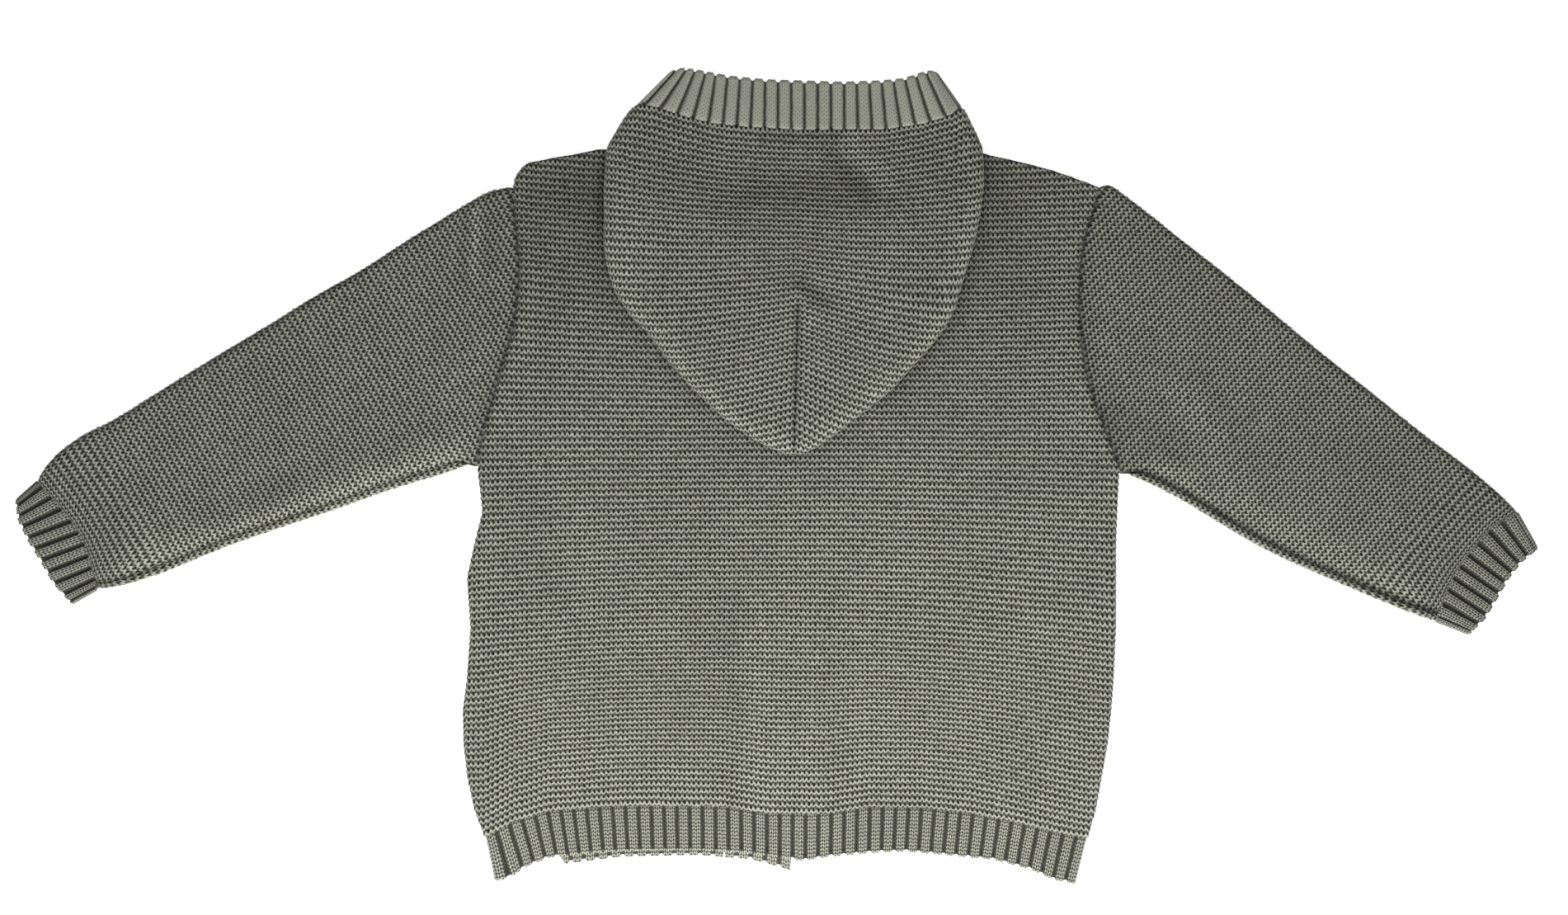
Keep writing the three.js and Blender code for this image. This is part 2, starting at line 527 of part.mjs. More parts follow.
// Rings of the hood from its point to its mouth. The first upperCount points of a ring are its
// upper cloth, and the others its under side, from right to left.
function hoodRings() {
  const sideShares = [0.015, 0.05, 0.1, 0.16];
  const middleOffsets = [40, 28, 17, 0, -17, -28, -40];
  const edgeSpots = [[0, 0.5], [1.3, 0.84], [4, 0.99]];
  const rings = hoodSections.map(([height, left, right, floor]) => {
    const width = right - left;
    const small = Math.min(1, width / 45);
    const seam = clamp(seamX(height), left + width * 0.35, right - width * 0.35);
    const spots = edgeSpots.map(([distance, level]) => [left + distance * small, level]);
    const nearSeam = 4 * small;
    const leftEnd = left + 4 * small;
    const rightEnd = right - 4 * small;
    for (const share of [0.25, 0.5, 0.75, 1]) spots.push([lerp(leftEnd, seam - nearSeam, share), 1]);
    spots.push([seam, 1]);
    for (const share of [0, 0.25, 0.5, 0.75]) spots.push([lerp(seam + nearSeam, rightEnd, share), 1]);
    for (const [distance, level] of [...edgeSpots].reverse()) spots.push([right - distance * small, level]);
    const sagShare = clamp((height - hoodSagStart) / (hoodMouth - hoodSagStart), 0, 1) ** 2;
    const [outer, inner] = [[], []];
    const under = (x) => floor ?? backTop(x, height) + hoodLift;
    for (const [x, level] of spots) {
      const y = height + (lookUp(bandSeam, x) - hoodMouth) * sagShare - (height === hoodMouth ? seamGap : 0);
      const groove = x === seam && height < hoodSeam.y ? hoodSeamGroove : 0;
      const depth = (hoodTop(x, y) - under(x) - groove);
      const tipShare = lerp(0.8, 1, small);
      outer.push([x, y, under(x) + depth * level * tipShare]);
      const insideX = clamp(x, left + garterWall * small, right - garterWall * small);
      const insideY = y + (1 - small) * garterWall;
      const insideZ = clamp(depth * level * tipShare, garterWall + 0.1, depth * tipShare - garterWall);
      inner.push([insideX, insideY, under(x) + insideZ]);
    }
    const shrink = lookUp([[142, 1], [146.4, 0.75], [151.5, 0.5], [hoodMouth, 0.35]], height);
    const middle = (left + right) / 2;
    const lean = 0.04 * width;
    const centre = clamp(bandCentre(height), middle - lean, middle + lean);
    const lowerXs = [
      ...sideShares.map((share) => right - width * share * shrink),
      ...middleOffsets.map((offset) => centre + offset * Math.min(1, width / 150)),
      ...[...sideShares].reverse().map((share) => left + width * share * shrink),
    ];
    for (const [index, x] of lowerXs.entries()) {
      const edgeLift = index === 0 || index === lowerXs.length - 1 ? 1 : 0;
      outer.push([x, height - (height === hoodMouth ? seamGap : 0), under(x) + edgeLift]);
      const insideX = clamp(x, left + garterWall * small, right - garterWall * small);
      inner.push([insideX, height + (1 - small) * garterWall, under(x) + garterWall + edgeLift * 0.1]);
    }
    return { outer, inner, upperCount: spots.length };
  });
  return { rings, sideCount: sideShares.length - 1, middleCount: middleOffsets.length + 1 };
}

function hood({ rings, sideCount, middleCount }) {
  const lastFull = hoodSections.findIndex(([height]) => height === hoodLowerEnd);
  const firstMiddle = rings[0].upperCount + sideCount;
  const keep = (row, column) => row < lastFull || column < firstMiddle || column >= firstMiddle + middleCount;
  return clothWall('hood', yarn, {
    outer: rings.map(({ outer }) => outer), inner: rings.map(({ inner }) => inner),
    ring: true, close: true, keep,
  });
}

// The band of the hood: under the mouth from the front neck, round its corners and over its top.
function hoodBand({ rings }) {
  const mouthRow = rings.at(-1).outer.slice(0, rings[0].upperCount);
  const stations = [];
  const half = ribWall / 2;
  const turned = (row) => stations.push({ seam: row.slice(0, 3), edge: row.slice(3, 6), facing: row[6], isRib: 1 });
  leftBandTurn.forEach(turned);
  for (const [share, isRib] of ribColumns(hoodRibs)) {
    const [seamAt, edgeAt] = [lerp(...bandTopSeam, share), lerp(...bandTopEdge, share)];
    stations.push({
      seam: [seamAt, lookUp(mouthRow, seamAt) + seamGap, hoodMouthTop - half],
      edge: [edgeAt, lookUp(bandEdge, edgeAt), hoodMouthTop - half - hoodBandDrop],
      facing: 90, isRib,
    });
  }
  [...rightBandTurn].reverse().forEach(turned);
  const outer = [];
  const inner = [];
  for (const { seam, edge, facing, isRib } of stations) {
    const normal = [Math.cos(degToRad(facing)), 0, Math.sin(degToRad(facing))];
    const rows = [0, 0.5, 1].map((share) => seam.map((value, axis) => lerp(value, edge[axis], share)));
    outer.push(rows.map((point) => point.map((v, axis) => v + normal[axis] * (half - ribDepth * (1 - isRib)))));
    inner.push(rows.map((point) => point.map((v, axis) => v - normal[axis] * half)));
  }
  return clothWall('hood_band', ribYarn, { outer, inner });
}

const backRows = backPlan();
const hoodShape = hoodRings();
const cardigan = new THREE.Group();
cardigan.add(
  backPanel(backRows),
  backHem(backRows[0]),
  frontPanel('front_left', 1, leftFrontBase),
  frontPanel('front_right', 2, rightFrontBase),
  frontHem('front_left_hem', 1, leftFrontEdge, leftFrontBase),
  frontHem('front_right_hem', 2, rightFrontEdge, rightFrontBase),
  buttonBand('button_band_left', leftBandBase, (x) => lookUp(leftFrontEdge, x)),
  buttonBand('button_band_right', rightBandBase, (x) => lookUp(rightFrontEdge, x)),
  sleeve('sleeve_left', leftSleeve, 1, leftCuff),
  sleeve('sleeve_right', rightSleeve, 2, rightCuff),
  cuff('cuff_left', leftCuff),
  cuff('cuff_right', rightCuff),
  hood(hoodShape),
  hoodBand(hoodShape),
);
for (let number = 0; number < buttonCount; number += 1) cardigan.add(button(number));

export default cardigan;
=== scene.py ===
"""Hooded baby cardigan in garter stitch, laid flat with its back up, knitted around its CAD frame.

Lengths in the code are millimetres, and turn to metres where a mesh is written.
+X is to the right of this view, +Y runs from the hem to the neck, and the surface is z = 0.
"""

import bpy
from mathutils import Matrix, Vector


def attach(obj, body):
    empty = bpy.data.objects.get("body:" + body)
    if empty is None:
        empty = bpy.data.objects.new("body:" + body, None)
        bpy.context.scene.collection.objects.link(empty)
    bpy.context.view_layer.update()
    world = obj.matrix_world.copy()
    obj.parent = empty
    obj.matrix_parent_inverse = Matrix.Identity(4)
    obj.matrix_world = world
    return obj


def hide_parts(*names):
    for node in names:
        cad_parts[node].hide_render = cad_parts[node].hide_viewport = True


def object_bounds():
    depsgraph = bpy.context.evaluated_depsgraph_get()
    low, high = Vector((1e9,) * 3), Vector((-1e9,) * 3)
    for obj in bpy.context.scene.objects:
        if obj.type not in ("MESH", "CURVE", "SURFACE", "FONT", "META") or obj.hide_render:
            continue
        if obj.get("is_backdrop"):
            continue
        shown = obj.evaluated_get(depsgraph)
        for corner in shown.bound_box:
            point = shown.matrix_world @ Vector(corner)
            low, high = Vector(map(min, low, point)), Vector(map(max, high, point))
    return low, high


bl_info = {
    "name": "Garter Stitch Baby Cardigan",
    "version": (1, 0, 0),
    "blender": (4, 5, 0),
    "location": "View3D > Sidebar > Cardigan",
    "description": "Knits a hooded baby cardigan stitch by stitch over its solids",
    "category": "Mesh",
}

import math

import bpy
import numpy as np

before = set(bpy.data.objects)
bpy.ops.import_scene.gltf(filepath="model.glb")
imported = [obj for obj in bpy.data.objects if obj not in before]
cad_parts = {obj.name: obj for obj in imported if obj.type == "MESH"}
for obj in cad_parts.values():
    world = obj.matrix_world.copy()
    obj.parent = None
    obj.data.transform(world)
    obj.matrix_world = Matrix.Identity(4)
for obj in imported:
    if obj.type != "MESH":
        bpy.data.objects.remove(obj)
CAD_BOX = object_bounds()

MM = 0.001

# Buttons, and the heights of the lowest and the highest of them
BUTTON_COUNT = 5
BUTTON_RADIUS = 7.5
BUTTON_THICKNESS = 1.8
BUTTON_HOLE_PLACE = 1.35
BUTTON_HOLE_RADIUS = 0.55
THREAD_RADIUS = 0.28
FIRST_BUTTON = -138
LAST_BUTTON = 98

# Walls of the cloth, gaps between its layers and pieces, and the layers' bases, as in the solids
GARTER_WALL = 2.6
RIB_WALL = 2.2
SEAM_GAP = 0.4
LAYER_GAP = 0.3
BAND_WIDTH = 28
LEFT_BAND_BASE = BUTTON_THICKNESS + LAYER_GAP
RIGHT_BAND_BASE = LEFT_BAND_BASE + RIB_WALL + LAYER_GAP
BACK_BASE = GARTER_WALL + SEAM_GAP
BACK_RIDGE = RIGHT_BAND_BASE + 0.1
BACK_LOFT = 0.6
HOOD_LIFT = 0.5
HOOD_DEPTH = 9
HOOD_MOUTH_TOP = 11
HOOD_BAND_DROP = 1.9

# Widths over which the cloth falls away beside the bands, on the left and on the right, and over
# which the back's loft rises from its sides
LEFT_FRONT_FALL = 26
RIGHT_FRONT_FALL = 31
BACK_RIDGE_FALL = (34, 38)
BACK_RIDGE_SHOULDER = 3
BACK_LOFT_RISE = 30

# Relief at seams, edges and turns, and how far cloth is tucked under its neighbour
SEAM_INSET = 5.6
SEAM_DIP = 2.3
SEAM_TUCK = 1.2
SCALLOP = 0.8
EDGE_BEAD = 1.6
EDGE_ROUNDING = 0.9
EDGE_BULGE = 0.15
EDGE_TURN = 1.1
ARMHOLE_TUCK = 1.7
FRONT_INSET = 1.5
RELIEF_SINK = 0.3
HOOD_SEAM_DEPTH = 2.0
HOOD_BEND = 4.6
LOWEST = 0.05

# How far rows stray from their lines, and the cloth from its surface
ROW_WANDER = 0.35
CLOTH_WAVE = 0.25

# Rows in the sleeves and in the hood, and the first and last column of stitches in the body and
# in the hood, which reach past their edges
SLEEVE_RIDGES = 93
HOOD_RIDGES = 60
BODY_COLUMNS = (-70, 75)
HOOD_COLUMNS = (-43, 43)

# Share of the colour's light that the painted shade leaves where it is full
FULL_PAINTED_SHADE = 0.33

# A yarn's fibres are 0.02 mm thick. They are drawn this thick, so that they show
FIBRE_DRAWN = 2 / 3
# Width of the patches in which the yarn took up more or less dye
DYE_PATCH = 1000 / 26

# Camera straight above the garment, in metres, and its lens
CAMERA_PLACE = (0.0033, 0.0081, 1.6)
CAMERA_LENS = 86.5

# Heights along the body where something starts or ends
SIDE_BOTTOM = -153
FRONT_NECK = 112
HOOD_SLOPE_START = 104
BODY_TOP = 138.5
FRONT_HEM_SEAM = -146
SLEEVE_HEAD = 122.5

# Centre line of the two button bands, at the hem and at the neck: x, y
BAND_HEM = (-8, -166)
BAND_NECK = (8, FRONT_NECK)

# Body sections: height, left edge, right edge
BODY = np.array([
    [-153, -123.5, 132], [-141, -128, 135.5], [-127, -131, 138], [-113, -132.5, 140.5],
    [-99, -132.8, 142], [-85, -131, 143], [-64, -129.6, 144], [-43, -131, 144],
    [-29, -128, 144], [-15, -124.5, 144.5], [3, -126.5, 145.3], [14, -125, 141.5],
    [25.5, -122, 137], [37.5, -118.5, 132.8], [50, -115, 130], [62, -111.3, 128.6],
    [75, -109.3, 128], [88, -108.6, 128.5], [100, -109.3, 130], [111, -110.7, 133.5],
    [122.5, -111.5, 137], [127, -110.5, 125], [130, -108.5, 116], [133, -105.5, 104.5],
    [136, -91, 91], [138.5, -76, 82],
])

# Seam between the back and its ribbed hem, and the hem's lower edge: x, y
HEM_SEAM = np.array([
    [-123.5, -153], [-111, -146], [-96, -141.5], [-66, -139.5], [-22.5, -139.3], [-3, -142.3],
    [20.5, -142.5], [38.5, -140], [61, -140.3], [82, -142.5], [102, -146.5], [117.5, -150.5],
    [132, -153.4],
])
HEM_EDGE = np.array([
    [-120.5, -171], [-113.5, -170], [-106, -165], [-96, -161], [-72, -158.5], [-32, -157.5],
    [-12.5, -158.5], [5, -161], [11, -162], [20.5, -160.5], [40.5, -159], [55, -158.5],
    [71.5, -160], [92, -162], [107.5, -166], [117.5, -170.5], [127, -172.3],
])

# How far the hem's ribs lean inwards on their way down: x at the seam, x added at the edge
HEM_LEAN = np.array([
    [-123.5, 3.5], [-116, 6], [-101, 4.2], [-90, 2.8], [-80, 1.8], [-63, 1], [-40, 0.4],
    [40, -0.4], [70, -1.5], [88, -2.2], [100, -2.8], [115, -3.6], [121, -4.2], [132, -4.8],
])

# Lower edges of the left front, which shows below the back hem, and of the right front: x, y
LEFT_FRONT_EDGE = np.array([
    [-119, -165], [-102, -160], [-91.5, -160.5], [-90, -164], [-66, -161], [-32, -160.2],
    [-11, -161.8], [-0.5, -164.5], [6, -166.4],
])
RIGHT_FRONT_EDGE = np.array([
    [-22, -158], [11, -158.5], [55, -156], [92, -159], [117, -167], [126, -169],
])

# Front necklines: height, edge of the left front, edge of the right front
NECKLINE = np.array([
    [112, -6.4, 22.4], [115.6, -6.8, 22.8], [122.5, -21, 37], [127.3, -30, 46],
    [133, -37.6, 53.6], [138.5, -44.7, 60.6],
])

# Sleeve sections from armhole to cuff: upper edge x and y, lower edge x and y, height
LEFT_SLEEVE = np.array([
    [-112.3, 123, -127, 5.5, 5.9], [-117.5, 122, -130.5, 4.5, 6.1], [-123, 120.5, -134, 3.4, 6.3],
    [-133.5, 114.5, -140, 1.3, 6.6], [-144, 108, -146, -0.7, 6.8], [-156, 100.6, -155, -3.3, 7],
    [-175.5, 88, -168, -7.5, 7.3], [-196.5, 76, -184, -13.3, 7.6], [-217.5, 63, -200, -18.7, 7.6],
    [-238.5, 50.5, -216, -24, 7.6], [-259.5, 37.5, -232, -29.7, 7.6], [-280.5, 24.5, -250, -37, 7.4],
    [-294, 18, -264, -43, 7.2], [-304, 12, -274, -46.4, 7], [-310.5, 5, -281, -47.5, 6.8],
    [-313, -2.5, -288, -47.5, 6.5],
])
RIGHT_SLEEVE = np.array([
    [137.8, 123.3, 145.8, 2.5, 5.9], [141.5, 123.6, 149, 0.8, 6.1], [145.5, 121.2, 152, -0.6, 6.3],
    [153, 115.5, 158, -3.2, 6.6], [160.5, 109.7, 165, -6.7, 6.8], [168.5, 103.2, 173, -11, 7],
    [188.5, 87.5, 188.5, -20.5, 7.3], [209.5, 70.5, 203, -29, 7.6], [230.5, 53, 217, -36, 7.6],
    [251.5, 36.5, 231, -42.2, 7.6], [272.5, 19.5, 246, -48.7, 7.6], [288, 8, 259, -54.5, 7.4],
    [299, -0.5, 267, -58, 7.2], [306, -6.3, 273, -60.5, 7], [311.5, -12, 277, -61.3, 6.8],
    [314, -15.5, 279.7, -61.2, 6.5],
])

# Directions in which the sleeves run from armhole to cuff, and how dark the shade painted along
# their seams is
LEFT_SLEEVE_TURN = -148
RIGHT_SLEEVE_TURN = -42
LEFT_SEAM_SHADE = 0.2
RIGHT_SEAM_SHADE = 1.0

# Cuffs from their upper to their lower side: share, seam x and y, open edge x and y
LEFT_CUFF = np.array([
    [0, -313, -2.5, -322, -10.5], [0.2, -305.5, -10.5, -320.7, -18.5],
    [0.4, -297.5, -20, -316.5, -27], [0.6, -292.5, -29, -311, -36],
    [0.8, -290, -38.5, -306, -45], [1, -288, -47.5, -298.5, -53.5],
])
RIGHT_CUFF = np.array([
    [0, 314, -15.5, 322.3, -30.5], [0.2, 303, -21.5, 315.5, -36],
    [0.4, 294.5, -31, 310, -43], [0.6, 288, -40, 305, -51.5],
    [0.8, 284, -49.5, 300, -60], [1, 279.7, -61.2, 293.5, -66.5],
])
CUFF_HEIGHT = 6.5
CUFF_RIBS = 22

# Hood sections from its point to its mouth: height, left edge, right edge
HOOD = np.array([
    [10, 2, 12.5], [12.5, -4, 18], [17.5, -13, 25], [26, -24, 36], [36, -34.5, 48.5],
    [47.5, -45, 59], [58, -52.5, 68], [69, -62.5, 75], [81, -69.5, 78.7], [97, -73, 83.5],
    [111, -73, 86.5], [124.5, -73, 88], [137.5, -72, 87.6], [140.2, -71.2, 87], [142.8, -70, 86],
    [146.4, -68, 84.6], [151.5, -65, 82], [157.5, -60.5, 79.3],
])

# What the hood's under side rests at past the back's neck: height, level
HOOD_FLOOR = np.array([[137.5, 6.2], [140.2, 6.2], [142.8, 3.2], [146.4, 0.3], [157.5, 0]])

# The hood's dart seam: x and height of its top, and its lean for each mm down
HOOD_SEAM_X = 9.2
HOOD_SEAM_TOP = 76
HOOD_SEAM_LEAN = 0.026

# Seam between the hood and its ribbed band, and the band's free edge: x, y
BAND_SEAM = np.array([
    [-60.5, 157.9], [-52, 157], [-41.5, 153.5], [-25.5, 149.5], [-14.5, 148.5], [10, 147],
    [45.5, 147], [61.5, 149.5], [75, 153.5], [79.3, 156.5],
])
BAND_EDGE = np.array([
    [-45, 171.3], [-40.5, 172.5], [-35.5, 172], [-19.5, 169], [-4, 167.5], [27.5, 166.5],
    [43.5, 167], [54, 168], [64.5, 171.5], [68.5, 171.5],
])

# Hood band from the front neck round one corner of the mouth: seam x, y, z, free edge x, y, z,
# and the direction its outer side faces, in degrees from +X towards +Z
LEFT_BAND_TURN = np.array([
    [7.6, 112.9, 1.1, 7.6, 131, 1.1, 270], [-9.6, 118, 1.1, -4, 134.5, 1.1, 270],
    [-29.6, 128.2, 1.1, -20, 143.5, 1.1, 270], [-44.4, 139.8, 1.1, -33, 152.5, 1.1, 270],
    [-50.4, 151.5, 1.1, -39.5, 161, 1.1, 270], [-52.4, 157.2, 1.1, -41.2, 167.5, 1.1, 270],
    [-57.4, 157, 2.6, -43.4, 170, 2.2, 225], [-58.9, 156.8, 5.6, -44.4, 171, 4.6, 180],
    [-57.8, 156.9, 8.6, -43.8, 171.5, 6.9, 135],
])
RIGHT_BAND_TURN = np.array([
    [8.4, 112.9, 1.1, 8.4, 131, 1.1, -90], [25.6, 118, 1.1, 20, 134.5, 1.1, -90],
    [45.6, 128.2, 1.1, 36, 143.5, 1.1, -90], [60.4, 139.8, 1.1, 49, 152.5, 1.1, -90],
    [68.2, 151.5, 1.1, 57.5, 161, 1.1, -90], [71.2, 156.6, 1.1, 63, 167.5, 1.1, -90],
    [76.4, 156.4, 2.6, 66.4, 170, 2.2, -45], [77.9, 156.2, 5.6, 67.5, 171, 4.6, 0],
    [76.9, 156.2, 8.6, 66.8, 171.3, 6.9, 45],
])

# Upper run of the hood band: x of each rib at the seam and at the free edge
BAND_TOP = np.array([
    [-55.5, -41.5], [-42, -34.5], [-26, -24], [0, 0], [30, 30], [48, 46], [62, 57], [75, 65.5],
])

# Soft folds of the solids: start x and y, end x and y, half width, rise
BACK_FOLDS = [
    (-96, -60, -84, -128, 9, 0.7), (84, -62, 96, -130, 10, 0.7), (-118, 0, -96, -22, 9, 0.6),
]
SLEEVE_FOLDS = [
    (-121.5, 118, -120.5, 86, 4.5, 1.9), (-120.5, 86, -127, 50, 6, 1.1),
    (-214, -2, -236, -14, 10, -0.8), (-188, 8, -160, 22, 12, 0.8), (166, 34, 190, -8, 7, -0.9),
    (180, 38, 202, 2, 8, 0.8), (150, 96, 146, 60, 7, 0.8), (-282, -6, -262, 18, 9, -0.7),
    (262, -22, 282, -2, 9, -0.7),
]
HOOD_FOLDS = [
    (22, 143, 48, 121, 7, -1.5), (9.5, 81, 9.5, 78, 4, 1.2), (-62, 128, -66, 96, 8, 0.6),
]

# Finer creases laid over those: start x and y, end x and y, half width, rise
BACK_CREASES = [
    (-13, -62, -16, -140, 6, 0.55), (-27, -84, -30, -140, 5, -0.5), (27, -58, 30, -141, 7, 0.5),
    (14, -80, 12, -141, 5, -0.45), (-118, 22, -84, 2, 6, -0.5), (138, 6, 104, -12, 8, 0.5),
    (-104, 118, -92, 92, 5, -0.5), (104, 116, 112, 84, 6, -0.5), (60, -20, 66, -70, 12, 0.35),
    (-52, 0, -58, -58, 12, 0.35),
]
FRONT_CREASES = [
    (-70, -40, -76, -130, 9, 0.5), (-98, 40, -60, 10, 8, 0.5), (78, -30, 84, -128, 9, 0.5),
    (104, 50, 66, 16, 8, 0.5),
]
HOOD_CREASES = [
    (-40, 140, -20, 118, 9, -0.5), (-52, 74, -22, 44, 10, 0.5), (62, 70, 40, 46, 10, 0.5),
    (-20, 104, 24, 100, 12, 0.5), (9, 82, 22, 74, 3.2, -1.0), (12.5, 70, 14, 67, 3, 0.6),
]

# Painted shade where little light reaches the cloth, above 0, and painted light where much does,
# below 0: start x and y, end x and y, half width, strength
BACK_SHADES = [
    (-19, -52, -18, -140, 4.5, 0.11), (-8, -56, -8, -140, 5, -0.09), (22, -58, 24, -141, 5, 0.09),
    (34, -56, 36, -141, 5, -0.08), (-122, 6, -100, -18, 5, 0.16), (136, 2, 112, -16, 6, 0.12),
    (-104, 112, -96, 70, 10, 0.12), (-98, 20, -104, -40, 12, 0.06), (100, 114, 108, 80, 9, 0.08),
    (100, 122, 134, 117, 6, 0.06), (-104, 124, -74, 116, 10, 0.2), (-88, 118, -86, 72, 24, 0.13),
]
SLEEVE_SHADES = [
    (-127, 112, -128, 84, 1.9, -0.4), (-131.5, 111, -132.5, 82, 2.6, 0.25),
    (-122, 116, -120, 72, 3.6, 0.2), (-140, 22, -240, -18, 7, 0.2), (-130, 13, -275, -36, 6, -0.4),
    (146, 26, 166, 10, 9, 0.24), (188, 30, 200, 6, 6, 0.14), (165, 4, 268, -49, 4.5, -0.3),
    (225, 12, 285, -22, 24, 0.1), (-215, 12, -285, -20, 24, 0.08),
]
HOOD_SHADES = [
    (9.5, 81.5, 21, 75, 2.8, 0.5), (12.5, 70, 16, 66, 3, -0.25), (31, 141, 46, 123, 4, -0.45),
    (-4, 143, 26, 144.5, 3.5, 0.34), (23, 137, 38, 117, 4, 0.3), (-22, 128, 16, 128, 10, -0.24),
    (-66, 128, -64, 78, 10, -0.2),
]

# How dark the shadow painted on the back beside the hood is, on the left, in the middle and on
# the right of it: up to that x, strength of the painted shadow
HOOD_CONTACT_SHADOW = ((-30, 0.7), (45, 0.5), (math.inf, 0.8))

# Widths of the painted shadow's dark line beside the hood and of the soft painted shade beyond it
CONTACT_SHADOW_WIDTH = 2.6
CONTACT_SHADOW_REACH = 20

# How the rows of the body bow: height, lift, bend in thousandths, x of the middle of the bend
ROW_BOW = np.array([[-60, 4, -0.39, -10], [80, 0, 0.3, 58], [138.5, 0, 0.3, 58]])
HEM_BOW_END = -60

# How the hood's rows fall away from its seam, in degrees: height at the seam, the row's slope
# beside the seam on the left and 60 mm away there, the same on the right, and the rows' pitch
HOOD_ROWS = np.array([
    [6, 17, 10, 34, 22, 3.1], [20, 16, 8, 33, 20, 3.0], [34, 15, 4, 27, 14, 2.75],
    [48, 15, 3, 23, 10, 2.65], [62, 15, 1, 21, 7, 2.42], [78, 9, 0, 15, 5, 2.36],
    [90, 4, -1, 9, -1.5, 2.33], [104, 0, -5, 5, -4, 2.36], [118, 0, -9, 4, -7, 2.38],
    [132, 0, -11, 4, -10, 2.46], [147, 0, -14, 2, -11, 2.55],
])
HOOD_SIDE_REACH = 60
HOOD_SAG_START = 118

# One ridge of garter stitch in three rows: place down the ridge and height of the yarn,
# first in the middle of a purl bump and then between two bumps
RIDGE_ROWS = np.array([
    [0.12, -0.36, 0.0, 0.0],
    [0.42, -0.3, 0.3, 0.14],
    [0.8, 0.16, 0.62, 0.06],
])

# One rib across: share of its pitch, and height against the crest of its knit stitches
RIB_PROFILE = np.array([
    [0.0, -0.62], [0.05, -0.18], [0.18, 0.0], [0.34, -0.2], [0.5, 0.0], [0.62, -0.18], [0.67, -0.62],
    [0.74, -1.25], [0.835, -1.4], [0.93, -1.25],
])
# Where in its pitch a rib ends, and where the recess beside it is deepest
RIB_SHARE = 0.67
RECESS_MIDDLE = 0.835

# A rib's rounded free edge and plain inner side: share of the way down, height from its middle
RIB_INSIDE = np.array([
    [1.0, 0.1], [1.0, -0.35], [0.97, -0.88], [0.85, -1.1], [0.4, -1.1], [0.0, -1.1],
])

# Widths in which a rib rises from its seam, closes towards its free edge and rounds over it
RIB_RISE = 1.6
RIB_CLOSE = 2.2
RIB_ROUND = 1.1


def read(table, key, column=1):
    """A column of a table, read along straight lines between its rows by the first column."""
    return np.interp(key, table[:, 0], table[:, column])


def ease_off(share):
    """1 up to 0, then half a cosine down to 0 at 1."""
    return 0.5 + 0.5 * np.cos(np.pi * np.clip(share, 0, 1))


def fold_rise(folds, x, y):
    """The sum over the folds of rise times e to minus the square of distance over half width."""
    rise = np.zeros(np.broadcast(x, y).shape)
    for start_x, start_y, end_x, end_y, width, height in folds:
        run_x, run_y = end_x - start_x, end_y - start_y
        share = ((x - start_x) * run_x + (y - start_y) * run_y) / (run_x ** 2 + run_y ** 2)
        share = np.clip(share, 0, 1)
        away = np.hypot(x - start_x - share * run_x, y - start_y - share * run_y)
        rise = rise + height * np.exp(-((away / width) ** 2))
    return rise


def band_centre(y):
    """Plan x of the centre line of the overlapping bands."""
    share = (y - BAND_HEM[1]) / (BAND_NECK[1] - BAND_HEM[1])
    return BAND_HEM[0] + (BAND_NECK[0] - BAND_HEM[0]) * share


def ridge_fade(y):
    """1 up to the front neck, then half a cosine down to 0 at the body's top."""
    return ease_off((y - FRONT_NECK) / (BODY_TOP - FRONT_NECK))


def front_base(x, y, band_base, reach):
    """Height of a front's under side: 0, and up to its band's base over a half cosine."""
    away = np.abs(x - band_centre(y)) - BAND_WIDTH / 2
    return band_base * ease_off(away / reach) * ridge_fade(y)


def left_front_base(x, y):
    """Height of the left front's under side, which rises to the band that lies on the buttons."""
    return front_base(x, y, LEFT_BAND_BASE, LEFT_FRONT_FALL)


def right_front_base(x, y):
    """Height of the right front's under side, which rises to the band that lies on the left one."""
    return front_base(x, y, RIGHT_BAND_BASE, RIGHT_FRONT_FALL)


def from_sides(x, y):
    """Distance inside the nearer of the body's two side edges."""
    return np.minimum(x - read(BODY, y, 1), read(BODY, y, 2) - x)


def back_under(x, y):
    """Height of the back's under side: its base, a half cosine ridge over the bands and a loft."""
    away = np.abs(x - band_centre(y)) - BAND_WIDTH / 2 - BACK_RIDGE_SHOULDER
    fall = np.where(x < band_centre(y), *BACK_RIDGE_FALL)
    ridge = BACK_RIDGE * ease_off(away / fall) * ridge_fade(y)
    inside = np.clip(from_sides(x, y) / BACK_LOFT_RISE, 0, 1)
    folds = np.maximum(0, fold_rise(BACK_FOLDS, x, y))
    return BACK_BASE + ridge + (BACK_LOFT * ridge_fade(y) + folds) * (1 - ease_off(inside))


def back_top(x, y):
    """Height of the back's upper side, a garter wall over its under side."""
    return back_under(x, y) + GARTER_WALL


def hood_seam_x(y):
    """Plan x of the hood's dart seam: its x at the top, less its lean for each mm below that."""
    return HOOD_SEAM_X - HOOD_SEAM_LEAN * (HOOD_SEAM_TOP - np.minimum(y, HOOD_SEAM_TOP))


def hood_top(x, y):
    """Height of the hood's upper cloth: the back's, raised, and eased down to its mouth."""
    domed = back_top(x, np.minimum(y, BODY_TOP)) + HOOD_LIFT + HOOD_DEPTH + fold_rise(HOOD_FOLDS, x, y)
    run = read(BAND_SEAM, x) - HOOD_SLOPE_START
    to_mouth = 1 - ease_off((y - HOOD_SLOPE_START) / run)
    return domed + (HOOD_MOUTH_TOP - domed) * to_mouth


def along(points, shares):
    """Points at shares of a path's length, on the straight lines between its points."""
    steps = np.linalg.norm(np.diff(points[:, :3], axis=0), axis=1)
    places = np.concatenate([[0], np.cumsum(steps)]) / steps.sum()
    return np.stack([np.interp(shares, places, column) for column in points.T], axis=-1)


